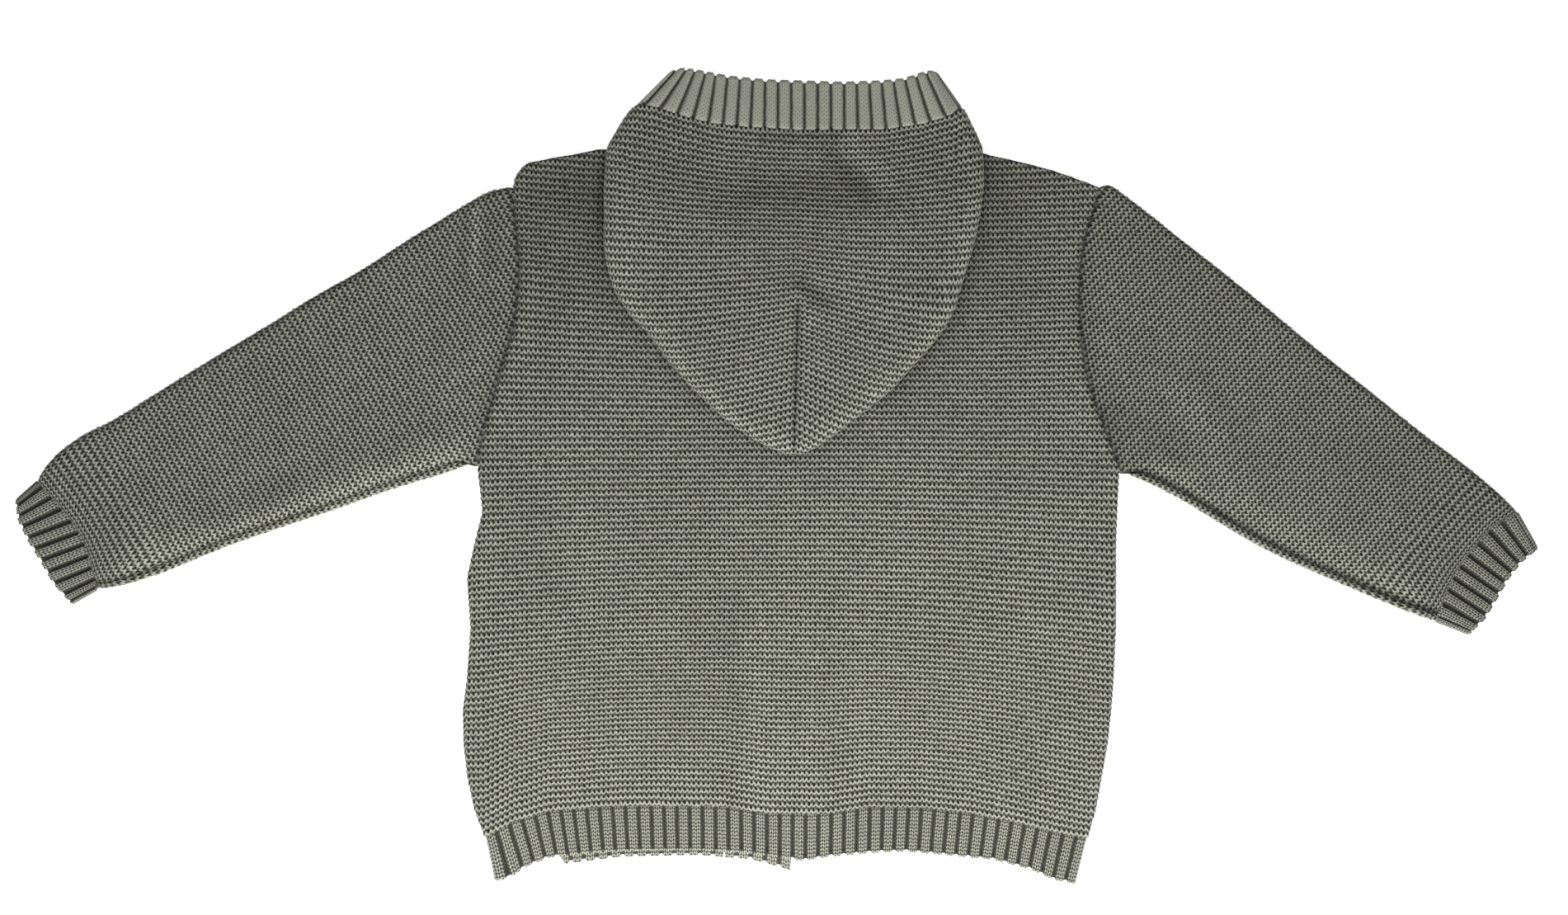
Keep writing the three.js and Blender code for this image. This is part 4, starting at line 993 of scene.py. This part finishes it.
def turned_button(name, centre, finish):
    """A turned disc, a profile carried round: a raised rim, a dished middle and a plain top, with
    four holes pressed into the dish by a half cosine."""
    profile = rounded_path(np.array([
        [0, 0.75], [3.0, 0.7], [5.0, 0.55], [5.9, 0.15], [6.7, 0.0], [7.3, 0.25],
        [BUTTON_RADIUS, 0.8], [7.2, 1.5], [6.6, BUTTON_THICKNESS], [4.0, BUTTON_THICKNESS],
        [0, BUTTON_THICKNESS],
    ], float), 5)
    turn = np.linspace(0, 2 * np.pi, 73)[None]
    radius = np.clip(profile[:, :1], 0, BUTTON_RADIUS)
    x, y = radius * np.cos(turn), radius * np.sin(turn)
    reach = np.hypot(np.abs(x) - BUTTON_HOLE_PLACE, np.abs(y) - BUTTON_HOLE_PLACE)
    # The first 28 points of the profile are its dished side
    is_front = np.arange(len(profile))[:, None] < 28
    z = profile[:, 1:] + np.where(is_front, 0.9 * ease_off((reach - BUTTON_HOLE_RADIUS) / 0.35), 0)
    points = np.stack([x, y, np.clip(z, 0, BUTTON_THICKNESS)], axis=-1) + centre
    maps = np.stack(np.broadcast_arrays(turn, profile[:, :1]), axis=-1)
    return put_cloth(name, points, maps, finish)


def button_thread(name, centre, finish):
    """Two crossing stitches of thread in a button's holes: a round strand bent over the dish."""
    share, turn = np.linspace(0, 1, 15)[:, None], np.linspace(0, 2 * np.pi, 9)[None, :-1, None]
    height = 1.5 - 1.2 * np.sin(np.pi * share) ** 0.5
    points, faces = [], []
    for start, end in (((-1, -1), (1, 1)), ((-1, 1), (1, -1))):
        plan = (np.array(start) * (1 - share) + np.array(end) * share) * BUTTON_HOLE_PLACE
        line = np.concatenate([plan, height], axis=-1)
        run = np.gradient(line, axis=0)
        run = run / np.linalg.norm(run, axis=1, keepdims=True)
        beside = np.cross(run, [0, 0, 1.0])
        beside = beside / np.linalg.norm(beside, axis=1, keepdims=True)
        above = np.cross(beside, run)
        round_line = beside[:, None] * np.cos(turn) + above[:, None] * np.sin(turn)
        strand = line[:, None] + THREAD_RADIUS * round_line
        index = np.arange(strand[..., 0].size).reshape(strand.shape[:2]) + sum(map(len, points))
        following = np.roll(index, -1, axis=1)
        sides = np.stack([index[:-1], index[1:], following[1:], following[:-1]], axis=-1).reshape(-1, 4)
        faces += sides.tolist() + [index[0].tolist(), index[-1][::-1].tolist()]
        points.append((strand + centre).reshape(-1, 3))
    mesh = bpy.data.meshes.new(name)
    mesh.from_pydata((np.concatenate(points) * MM).tolist(), [], faces)
    mesh.uv_layers.new(name="knit")
    mesh.materials.append(finish)
    piece = bpy.data.objects.new(name, mesh)
    bpy.context.scene.collection.objects.link(piece)
    return piece


def declare(piece, nodes, flat, area):
    """Hides the parts that a cloth piece stands for and hangs the piece on the root body; flat and
    area, the size it was cut to, are not used.
    """
    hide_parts(*nodes)
    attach(piece, "root")


def linear(colour):
    """An sRGB hex colour as linear red, green and blue."""
    values = [int(colour[i:i + 2], 16) / 255 for i in (1, 3, 5)]
    return [v / 12.92 if v <= 0.04045 else ((v + 0.055) / 1.055) ** 2.4 for v in values]


def add(tree, kind, inputs=(), **settings):
    """Adds a node with its settings and links: inputs maps a socket to a value or an output."""
    made = tree.nodes.new("ShaderNode" + kind)
    for name, value in settings.items():
        setattr(made, name, value)
    for socket, value in dict(inputs).items():
        if isinstance(value, bpy.types.NodeSocket):
            tree.links.new(value, made.inputs[socket])
        else:
            made.inputs[socket].default_value = value
    return made.outputs


def blank(name):
    """A new material without nodes, and its node tree."""
    finish = bpy.data.materials.new(name)
    finish.use_nodes = True
    finish.node_tree.nodes.clear()
    return finish, finish.node_tree


def yarn_finish(tree, pattern, colours, bump_depth):
    """Turns a knit pattern, from 0 in the gaps to 1 on the yarn, into colour, bump and the soft
    sheen of matt cotton. The fibres and the uneven dye vary both, and a painted shade darkens the
    colour where little light reaches the cloth, and lightens it as a painted highlight below 0."""
    place = add(tree, "TexCoord")["Object"]
    fibre, dye = (
        add(tree, "TexNoise", {"Vector": place, "Scale": scale, "Detail": 3.0, "Roughness": roughness})[0]
        for scale, roughness in ((1 / (FIBRE_DRAWN * MM), 0.65), (1 / (DYE_PATCH * MM), 0.6))
    )
    ragged = add(tree, "Math", {0: fibre, 1: 0.6, 2: -0.3}, operation="MULTIPLY_ADD")[0]
    level = add(tree, "Math", {0: pattern, 1: ragged}, operation="ADD", use_clamp=True)[0]
    ramp = add(tree, "ValToRGB", {0: level})[0]
    stops = ramp.node.color_ramp.elements
    stops.new(0.45)
    for stop, colour in zip(stops, colours):
        stop.color = (*colour, 1)
    tint = add(tree, "MapRange", {0: dye, 1: 0.3, 2: 0.7, 3: 0.93, 4: 1.06})[0]
    # Painted shade and painted highlight, read from the piece's point attribute
    painted_shade = add(tree, "Attribute", attribute_name="painted_shade")["Fac"]
    shade = add(tree, "MapRange", {0: painted_shade, 1: 0.0, 2: 1.0, 3: 1.0, 4: FULL_PAINTED_SHADE}, clamp=False)[0]
    tint = add(tree, "Math", {0: tint, 1: shade}, operation="MULTIPLY")[0]
    colour = add(tree, "VectorMath", {0: ramp, "Scale": tint}, operation="SCALE")[0]
    height = add(tree, "Math", {0: fibre, 1: 0.22, 2: level}, operation="MULTIPLY_ADD")[0]
    bump = add(tree, "Bump", {"Height": height, "Strength": 0.9, "Distance": bump_depth * MM})[0]
    cotton = add(tree, "BsdfPrincipled", {
        "Base Color": colour, "Roughness": 0.92, "Normal": bump, "Sheen Weight": 0.3,
        "Sheen Roughness": 0.45, "Sheen Tint": (*linear("#d8d8cc"), 1), "Specular IOR Level": 0.18,
    })[0]
    add(tree, "OutputMaterial", {0: cotton})


def knit_place(tree, noises):
    """The piece's own knit coordinates u and v, each moved by noises: scale, detail, reach."""
    knit = place = add(tree, "UVMap", uv_map="knit")[0]
    for scale, detail, reach in noises:
        noise = add(tree, "TexNoise", {"Vector": knit, "Scale": scale, "Detail": detail})[1]
        noise = add(tree, "VectorMath", {0: noise, 1: (0.5, 0.5, 0.5)}, operation="SUBTRACT")[0]
        place = add(tree, "VectorMath", {0: noise, 1: (*reach, 0.0), 2: place}, operation="MULTIPLY_ADD")[0]
    parts = add(tree, "SeparateXYZ", {0: place})
    return parts[0], parts[1]


def garter_cotton(colours):
    """Cotton yarn knitted in garter stitch: the eye sees purl bumps in wavy rows, a dark line of
    painted shade over each ridge, and dark ticks of painted shade between the legs of the stitches,
    while the yarn's crests carry a painted highlight. One stitch and one ridge are 1."""
    finish, tree = blank("sage_cotton_garter_stitch")
    u, v = knit_place(tree, ((0.45, 2.0, (0.5, 0.32)), (2.3, 1.0, (0.42, 0.3))))
    down = add(tree, "Math", {0: v}, operation="FRACT")[0]
    turn = add(tree, "Math", {0: u, 1: 2 * math.pi}, operation="MULTIPLY")[0]
    swing = add(tree, "Math", {0: turn}, operation="COSINE")[0]
    centre = add(tree, "Math", {0: swing, 1: 0.2, 2: 0.6}, operation="MULTIPLY_ADD")[0]
    away = add(tree, "Math", {0: down, 1: centre}, operation="SUBTRACT")[0]
    away = add(tree, "Math", {0: away}, operation="ABSOLUTE")[0]
    from_line = add(tree, "Math", {0: v, 1: 0.5}, operation="PINGPONG")[0]
    from_legs = []
    for lean, start in ((-0.35, 0.08), (0.4, 0.15)):
        leg = add(tree, "Math", {0: down, 1: lean, 2: u}, operation="MULTIPLY_ADD")[0]
        leg = add(tree, "Math", {0: leg, 1: start}, operation="ADD")[0]
        from_legs.append(add(tree, "Math", {0: leg, 1: 0.5}, operation="PINGPONG")[0])
    steps = []
    for value, start, end, last in (
        (away, 0.03, 0.27, 0.0), (from_line, 0.02, 0.14, 0.0),
        (from_legs[0], 0.09, 0.25, 0.0), (down, 0.42, 0.6, 0.0),
        (from_legs[1], 0.06, 0.18, 0.0), (down, 0.72, 0.84, 1.0),
    ):
        ends = {0: value, 1: start, 2: end, 3: 1.0 - last, 4: last}
        steps.append(add(tree, "MapRange", ends, interpolation_type="SMOOTHSTEP")[0])
    yarn, line, tick, upper, slash, lower = steps
    tick = add(tree, "Math", {0: tick, 1: upper}, operation="MULTIPLY")[0]
    slash = add(tree, "Math", {0: slash, 1: lower}, operation="MULTIPLY")[0]
    # The yarn's band is a painted highlight; the ticks, slashes and line are painted shade
    shine = add(tree, "Math", {0: swing, 1: -0.24, 2: 0.58}, operation="MULTIPLY_ADD")[0]
    level = 0.5
    for part, weight in ((yarn, shine), (tick, -1.2), (slash, -0.42), (line, -0.12)):
        level = add(tree, "Math", {0: part, 1: weight, 2: level}, operation="MULTIPLY_ADD")[0]
    yarn_finish(tree, level, colours, 0.3)


def rib_cotton(name, colours, recess_shade, recess_reach, lift):
    """Cotton yarn knitted in rib: the eye sees two columns of knit stitches with dark dots of painted
    shade between their strands, and a recess darkened by painted shade. A stretched rib has narrower
    and lighter recesses. One stitch is 1 across and down, and a rib with its recess is 3 across."""
    finish, tree = blank(name)
    u, v = knit_place(tree, ((0.4, 2.0, (0.3, 0.5)),))
    fold = add(tree, "Math", {0: u, 1: 0.5}, operation="PINGPONG")[0]
    beside = add(tree, "Math", {0: fold, 1: 0.25}, operation="SUBTRACT")[0]
    beside = add(tree, "Math", {0: beside}, operation="ABSOLUTE")[0]
    third = add(tree, "Math", {0: u, 1: 3.0}, operation="DIVIDE")[0]
    third = add(tree, "Math", {0: third}, operation="FRACT")[0]
    middle = add(tree, "Math", {0: third, 1: RECESS_MIDDLE}, operation="SUBTRACT")[0]
    middle = add(tree, "Math", {0: middle}, operation="ABSOLUTE")[0]
    strand, recess = (
        add(tree, "MapRange", dict(enumerate(ends)), interpolation_type="SMOOTHSTEP")[0]
        for ends in (
            (beside, 0.06, 0.22, 1.0, 0.0),
            (middle, recess_reach - 0.07, recess_reach, recess_shade, 1.0),
        )
    )
    late = add(tree, "Math", {0: fold, 1: 1.1, 2: v}, operation="MULTIPLY_ADD")[0]
    turn = add(tree, "Math", {0: late, 1: 2 * math.pi}, operation="MULTIPLY")[0]
    dots = add(tree, "Math", {0: turn}, operation="COSINE")[0]
    # lift lightens the whole rib as painted light
    dots = add(tree, "Math", {0: dots, 1: 0.34, 2: lift}, operation="MULTIPLY_ADD")[0]
    level = add(tree, "Math", {0: strand, 1: 0.62, 2: dots}, operation="MULTIPLY_ADD")[0]
    level = add(tree, "Math", {0: level, 1: recess}, operation="MULTIPLY")[0]
    yarn_finish(tree, level, colours, 0.4)


def button_resin(colour):
    """Cast resin, turned and polished: the eye sees a faint cloudy depth under a soft gloss. Its
    clouds are 5.6 mm across, and its fine scratches 0.4 mm apart."""
    finish, tree = blank("cast_resin_button")
    place = add(tree, "TexCoord")["Object"]
    cloud = add(tree, "TexNoise", {"Vector": place, "Scale": 180.0, "Detail": 4.0})[0]
    tint = add(tree, "MapRange", {0: cloud, 1: 0.3, 2: 0.7, 3: 0.85, 4: 1.12})[0]
    shade = add(tree, "VectorMath", {0: tuple(colour), "Scale": tint}, operation="SCALE")[0]
    scratch = add(tree, "TexNoise", {"Vector": place, "Scale": 2600.0, "Detail": 2.0})[0]
    bump = add(tree, "Bump", {"Height": scratch, "Strength": 0.15, "Distance": 0.05 * MM})[0]
    resin = add(tree, "BsdfPrincipled", {
        "Base Color": shade, "Roughness": 0.38, "IOR": 1.5, "Normal": bump,
        "Coat Weight": 0.25, "Coat Roughness": 0.2,
    })[0]
    add(tree, "OutputMaterial", {0: resin})
    return finish


def sewing_thread(colour):
    """Spun polyester thread: the eye sees a matt strand with a fine twist, 0.25 mm a turn."""
    finish, tree = blank("polyester_sewing_thread")
    place = add(tree, "TexCoord")["Object"]
    twist = add(tree, "TexNoise", {"Vector": place, "Scale": 1 / (0.25 * MM), "Detail": 2.0})[0]
    bump = add(tree, "Bump", {"Height": twist, "Strength": 0.5, "Distance": 0.1 * MM})[0]
    thread = add(tree, "BsdfPrincipled", {
        "Base Color": (*colour, 1), "Roughness": 0.7, "Normal": bump, "Sheen Weight": 0.2,
    })[0]
    add(tree, "OutputMaterial", {0: thread})
    return finish


def light_table(colour):
    """Matt opal acrylic lit evenly from below, so that what lies on it throws hardly a shadow. Its
    grain is 1.1 mm."""
    finish, tree = blank("opal_acrylic_light_table")
    place = add(tree, "TexCoord")["Object"]
    grain = add(tree, "TexNoise", {"Vector": place, "Scale": 900.0})[0]
    bump = add(tree, "Bump", {"Height": grain, "Strength": 0.04, "Distance": 0.1 * MM})[0]
    acrylic = add(tree, "BsdfPrincipled", {
        "Base Color": (*colour, 1), "Roughness": 0.9, "Normal": bump,
        "Emission Color": (1, 1, 1, 1), "Emission Strength": 0.8,
    })[0]
    add(tree, "OutputMaterial", {0: acrylic})
    return finish


class KnitSizes(bpy.types.PropertyGroup):
    """Pitches of the knitting, stored in metres and read in millimetres"""
    ridge: bpy.props.FloatProperty(
        name="Ridge pitch", description="Height of one garter ridge, which is two rows",
        default=2.75 * MM, unit="LENGTH")
    stitch: bpy.props.FloatProperty(
        name="Stitch width", description="Width of one stitch", default=2.03 * MM, unit="LENGTH")
    rib: bpy.props.FloatProperty(
        name="Rib pitch", description="Width of one rib with its recess",
        default=5.6 * MM, unit="LENGTH")

    @property
    def ridge_pitch(self):
        return self.ridge / MM

    @property
    def stitch_width(self):
        return self.stitch / MM

    @property
    def rib_pitch(self):
        return self.rib / MM


class KnitColours(bpy.types.PropertyGroup):
    """Colours of the yarn with its painted shade and painted highlight, the buttons and the floor"""
    # The gap colour is painted shade between the stitches, the crest colour a painted highlight, and the
    # cotton colour the yarn's own
    gap: bpy.props.FloatVectorProperty(
        name="Gap", description="Colour between the stitches", default=linear("#1a1a14"), subtype="COLOR")
    cotton: bpy.props.FloatVectorProperty(
        name="Cotton yarn", description="Colour of the yarn", default=linear("#56574d"), subtype="COLOR")
    crest_highlight: bpy.props.FloatVectorProperty(
        name="Crest", description="Colour on the yarn's crest", default=linear("#a9aa9d"), subtype="COLOR")
    button: bpy.props.FloatVectorProperty(
        name="Button", description="Colour of the buttons", default=linear("#6f7166"), subtype="COLOR")
    floor: bpy.props.FloatVectorProperty(
        name="Floor", description="Colour of the floor", default=linear("#f4f4f4"), subtype="COLOR")


def finishes(colours):
    """The cloth's three materials, made once: garter stitch, rib and stretched rib, painted lighter."""
    made = bpy.data.materials
    names = "sage_cotton_garter_stitch", "sage_cotton_rib", "sage_cotton_stretched_rib_painted_lighter"
    if names[0] not in made:
        yarn = colours.gap, colours.cotton, colours.crest_highlight
        garter_cotton(yarn)
        # The stretched rib's larger lift paints it lighter than the plain rib, as light falls on the hood
        # band
        rib_cotton(names[1], yarn, 0.25, 0.17, 0.3)
        rib_cotton(names[2], yarn, 0.22, 0.15, 0.92)
    return [made[name] for name in names]


class CARDIGAN_OT_back(bpy.types.Operator):
    """Knits the back and its ribbed hem"""
    bl_idname = "cardigan.back"
    bl_label = "Back"

    def execute(self, context):
        knit = context.scene.cardigan_sizes
        garter_finish, rib_finish, _ = finishes(context.scene.cardigan_colours)
        outline = hood_outline()
        lattice = body_lattice(knit, lambda y: read(BODY, y, 1), lambda y: read(BODY, y, 2), 11)

        def surface(x, y):
            return back_top(x, y) + fold_rise(BACK_CREASES, x, y) + CLOTH_WAVE * unevenness(x, y, 18)

        back = panel(
            "back_cloth", lattice, surface, lambda x, y: back_under(x, y) + 0.2, 1,
            garter_finish, lambda x, y: back_painted_shade(x, y, outline))
        declare(back, ["back_panel"], (0.278, 0.2915), 0.0727)
        width = HEM_SEAM[-1, 0] - HEM_SEAM[0, 0]
        hem = ribbed("back_hem_rib", *back_hem_paths(width), round(width / knit.rib_pitch) + 1, rib_finish)
        declare(hem, ["back_hem"], (0.257, 0.0185), 0.0047)
        return {"FINISHED"}


class CARDIGAN_OT_fronts(bpy.types.Operator):
    """Knits the two fronts and their ribbed hems, which lie under the back"""
    bl_idname = "cardigan.fronts"
    bl_label = "Fronts"

    def execute(self, context):
        knit = context.scene.cardigan_sizes
        garter_finish, rib_finish, _ = finishes(context.scene.cardigan_colours)
        for name, side, inwards, base, edge_table, seed, flat, area in (
            ("front_left", 1, 1, left_front_base, LEFT_FRONT_EDGE, 21, (0.116, 0.285), 0.0304),
            ("front_right", 2, -1, right_front_base, RIGHT_FRONT_EDGE, 22, (0.132, 0.285), 0.0339),
        ):
            cloth = knit_front(f"{name}_cloth", knit, side, inwards, base, seed, garter_finish)
            declare(cloth, [name], flat, area)
            paths = front_hem_paths(side, inwards, base, edge_table)
            ribs = round((paths[0][0, 0] - paths[0][-1, 0]) / knit.rib_pitch)
            hem = ribbed(f"{name}_hem_rib", *paths, ribs, rib_finish)
            declare(hem, [f"{name}_hem"], (0.112, 0.019), None)
        return {"FINISHED"}


class CARDIGAN_OT_button_bands(bpy.types.Operator):
    """Knits the two overlapping button bands"""
    bl_idname = "cardigan.button_bands"
    bl_label = "Button bands"

    def execute(self, context):
        _, rib_finish, _ = finishes(context.scene.cardigan_colours)
        across = np.linspace(1, -1, 40) * BAND_WIDTH / 2
        for name, base, table in (
            ("button_band_left", LEFT_BAND_BASE, LEFT_FRONT_EDGE),
            ("button_band_right", RIGHT_BAND_BASE, RIGHT_FRONT_EDGE),
        ):
            seam_x, edge_x = band_centre(FRONT_NECK) + across, band_centre(table[0, 1]) + across
            seam_y, edge_y = 0 * across + FRONT_NECK - SEAM_TUCK, read(table, edge_x)
            paths = flat_strip(
                np.stack([seam_x, seam_y], axis=-1), np.stack([edge_x, edge_y], axis=-1),
                lambda x, y: 0 * x + base, -1)
            band = ribbed(f"{name}_rib", *paths, 5, rib_finish, step=1.4, quiet=0.7)
            declare(band, [name], (0.028, 0.28), None)
        return {"FINISHED"}


class CARDIGAN_OT_sleeves(bpy.types.Operator):
    """Knits the two sleeves as flat tubes"""
    bl_idname = "cardigan.sleeves"
    bl_label = "Sleeves"

    def execute(self, context):
        knit = context.scene.cardigan_sizes
        garter_finish, _, _ = finishes(context.scene.cardigan_colours)
        left = LEFT_SLEEVE, -1, LEFT_SLEEVE_TURN, LEFT_CUFF, LEFT_SEAM_SHADE
        right = RIGHT_SLEEVE, 1, RIGHT_SLEEVE_TURN, RIGHT_CUFF, RIGHT_SEAM_SHADE
        for name, shape, seed, flat, area in (
            ("sleeve_left", left, 31, (0.2, 0.24), 0.0328),
            ("sleeve_right", right, 32, (0.2, 0.229), 0.0303),
        ):
            cloth = knit_sleeve(f"{name}_cloth", knit, sleeve_shape(*shape), seed, garter_finish)
            declare(cloth, [name], flat, area)
        return {"FINISHED"}


class CARDIGAN_OT_cuffs(bpy.types.Operator):
    """Knits the two ribbed cuffs"""
    bl_idname = "cardigan.cuffs"
    bl_label = "Cuffs"

    def execute(self, context):
        _, rib_finish, _ = finishes(context.scene.cardigan_colours)
        for name, table, side in (("cuff_left", LEFT_CUFF, -1), ("cuff_right", RIGHT_CUFF, 1)):
            cuff = ribbed(f"{name}_rib", *cuff_paths(table, side), CUFF_RIBS, rib_finish, closed=True)
            declare(cuff, [name], (0.105, 0.0165), None)
        return {"FINISHED"}


class CARDIGAN_OT_hood(bpy.types.Operator):
    """Knits the hood that lies over the back"""
    bl_idname = "cardigan.hood"
    bl_label = "Hood"

    def execute(self, context):
        knit = context.scene.cardigan_sizes
        garter_finish, _, _ = finishes(context.scene.cardigan_colours)
        cloth = knit_hood(knit, 41, garter_finish)
        under = hood_lining_side(knit, garter_finish)
        declare(cloth, ["hood"], (0.175, 0.155), 0.0209)
        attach(under, "root")
        return {"FINISHED"}


class CARDIGAN_OT_hood_band(bpy.types.Operator):
    """Knits the ribbed band round the hood's face opening"""
    bl_idname = "cardigan.hood_band"
    bl_label = "Hood band"

    def execute(self, context):
        knit = context.scene.cardigan_sizes
        # Its stretched rib is painted lighter, as the light falls on the hood band
        _, _, stretched_painted_lighter_finish = finishes(context.scene.cardigan_colours)
        *paths, length = hood_band_paths()
        ribs = round(length / knit.rib_pitch)
        band = ribbed("hood_band_rib", *paths, ribs, stretched_painted_lighter_finish, quiet=0.8)
        declare(band, ["hood_band"], (0.33, 0.0185), None)
        return {"FINISHED"}


class CARDIGAN_OT_buttons(bpy.types.Operator):
    """Makes the five buttons under the left band and sews them on"""
    bl_idname = "cardigan.buttons"
    bl_label = "Buttons"

    def execute(self, context):
        colours = context.scene.cardigan_colours
        resin, thread = button_resin(colours.button), sewing_thread(colours.cotton)
        for number, y in enumerate(np.linspace(FIRST_BUTTON, LAST_BUTTON, BUTTON_COUNT), 1):
            centre = np.array([band_centre(y), y, 0])
            button = turned_button(f"button_{number}_resin", centre, resin)
            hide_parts(f"button_{number}")
            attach(button, "root")
            stitches = button_thread(f"button_{number}_thread", centre, thread)
            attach(stitches, "root")
        return {"FINISHED"}


class CARDIGAN_OT_stage(bpy.types.Operator):
    """Lays the floor and sets the lights and the camera"""
    bl_idname = "cardigan.stage"
    bl_label = "Stage"

    def execute(self, context):
        scene = context.scene
        size, level = 3.0, -0.2 * MM
        mesh = bpy.data.meshes.new("floor")
        corners = [(-size, -size, level), (size, -size, level), (size, size, level), (-size, size, level)]
        mesh.from_pydata(corners, [], [(0, 1, 2, 3)])
        mesh.materials.append(light_table(scene.cardigan_colours.floor))
        floor = bpy.data.objects.new("floor", mesh)
        scene.collection.objects.link(floor)
        floor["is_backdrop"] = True

        for name, place, target, width, depth, spread, power in (
            ("strip", (-0.01, -0.6, 0.6), (0.0, -0.17, 0), 0.85, 0.3, 80, 3.0),
            ("ceiling", (0.0, -0.1, 2.2), (0, 0, 0), 2.0, 2.0, 180, 8),
        ):
            light = bpy.data.lights.new(name, "AREA")
            light.shape = "RECTANGLE"
            light.size, light.size_y = width, depth
            light.spread = math.radians(spread)
            light.energy = power
            lamp = bpy.data.objects.new(name, light)
            lamp.location = place
            aim = np.array(target) - place
            lamp.rotation_euler = (
                math.atan2(math.hypot(aim[0], aim[1]), -aim[2]), 0, math.atan2(-aim[0], aim[1]))
            scene.collection.objects.link(lamp)

        world = bpy.data.worlds.new("studio")
        world.use_nodes = True
        world.node_tree.nodes["Background"].inputs["Color"].default_value = (1, 1, 1, 1)
        world.node_tree.nodes["Background"].inputs["Strength"].default_value = 0.14
        scene.world = world
        scene.view_settings.view_transform = "Standard"

        camera = bpy.data.cameras.new("camera")
        camera.sensor_width = 36
        camera.lens = CAMERA_LENS
        eye = bpy.data.objects.new("camera", camera)
        eye.location = CAMERA_PLACE
        scene.collection.objects.link(eye)
        scene.camera = eye
        return {"FINISHED"}


class CARDIGAN_PT_pieces(bpy.types.Panel):
    """Lists the cardigan's pieces in the sidebar"""
    bl_label = "Cardigan"
    bl_idname = "CARDIGAN_PT_pieces"
    bl_space_type = "VIEW_3D"
    bl_region_type = "UI"
    bl_category = "Cardigan"

    def draw(self, context):
        for group in (context.scene.cardigan_sizes, context.scene.cardigan_colours):
            for name in group.__annotations__:
                self.layout.prop(group, name)
        for piece in OPERATORS:
            self.layout.operator(piece.bl_idname)


OPERATORS = (
    CARDIGAN_OT_stage, CARDIGAN_OT_back, CARDIGAN_OT_fronts, CARDIGAN_OT_button_bands,
    CARDIGAN_OT_sleeves, CARDIGAN_OT_cuffs, CARDIGAN_OT_hood, CARDIGAN_OT_hood_band,
    CARDIGAN_OT_buttons,
)
CLASSES = (KnitSizes, KnitColours, *OPERATORS, CARDIGAN_PT_pieces)


def register():
    """Registers the classes and puts their sizes and colours on the scene."""
    for made in CLASSES:
        bpy.utils.register_class(made)
    bpy.types.Scene.cardigan_sizes = bpy.props.PointerProperty(type=KnitSizes)
    bpy.types.Scene.cardigan_colours = bpy.props.PointerProperty(type=KnitColours)


def unregister():
    """Takes the sizes, the colours and the classes away again."""
    del bpy.types.Scene.cardigan_colours
    del bpy.types.Scene.cardigan_sizes
    for made in reversed(CLASSES):
        bpy.utils.unregister_class(made)


def main():
    """Makes the stage and every piece, and works out how large the frame and the pieces are."""
    register()
    bpy.ops.cardigan.stage()
    bpy.ops.cardigan.back()
    bpy.ops.cardigan.fronts()
    bpy.ops.cardigan.button_bands()
    bpy.ops.cardigan.sleeves()
    bpy.ops.cardigan.cuffs()
    bpy.ops.cardigan.hood()
    bpy.ops.cardigan.hood_band()
    bpy.ops.cardigan.buttons()
    boxes = {"cad": CAD_BOX, "visual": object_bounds()}
    {name: [list(corner) for corner in box] for name, box in boxes.items()}


if __name__ == "__main__":
    main()
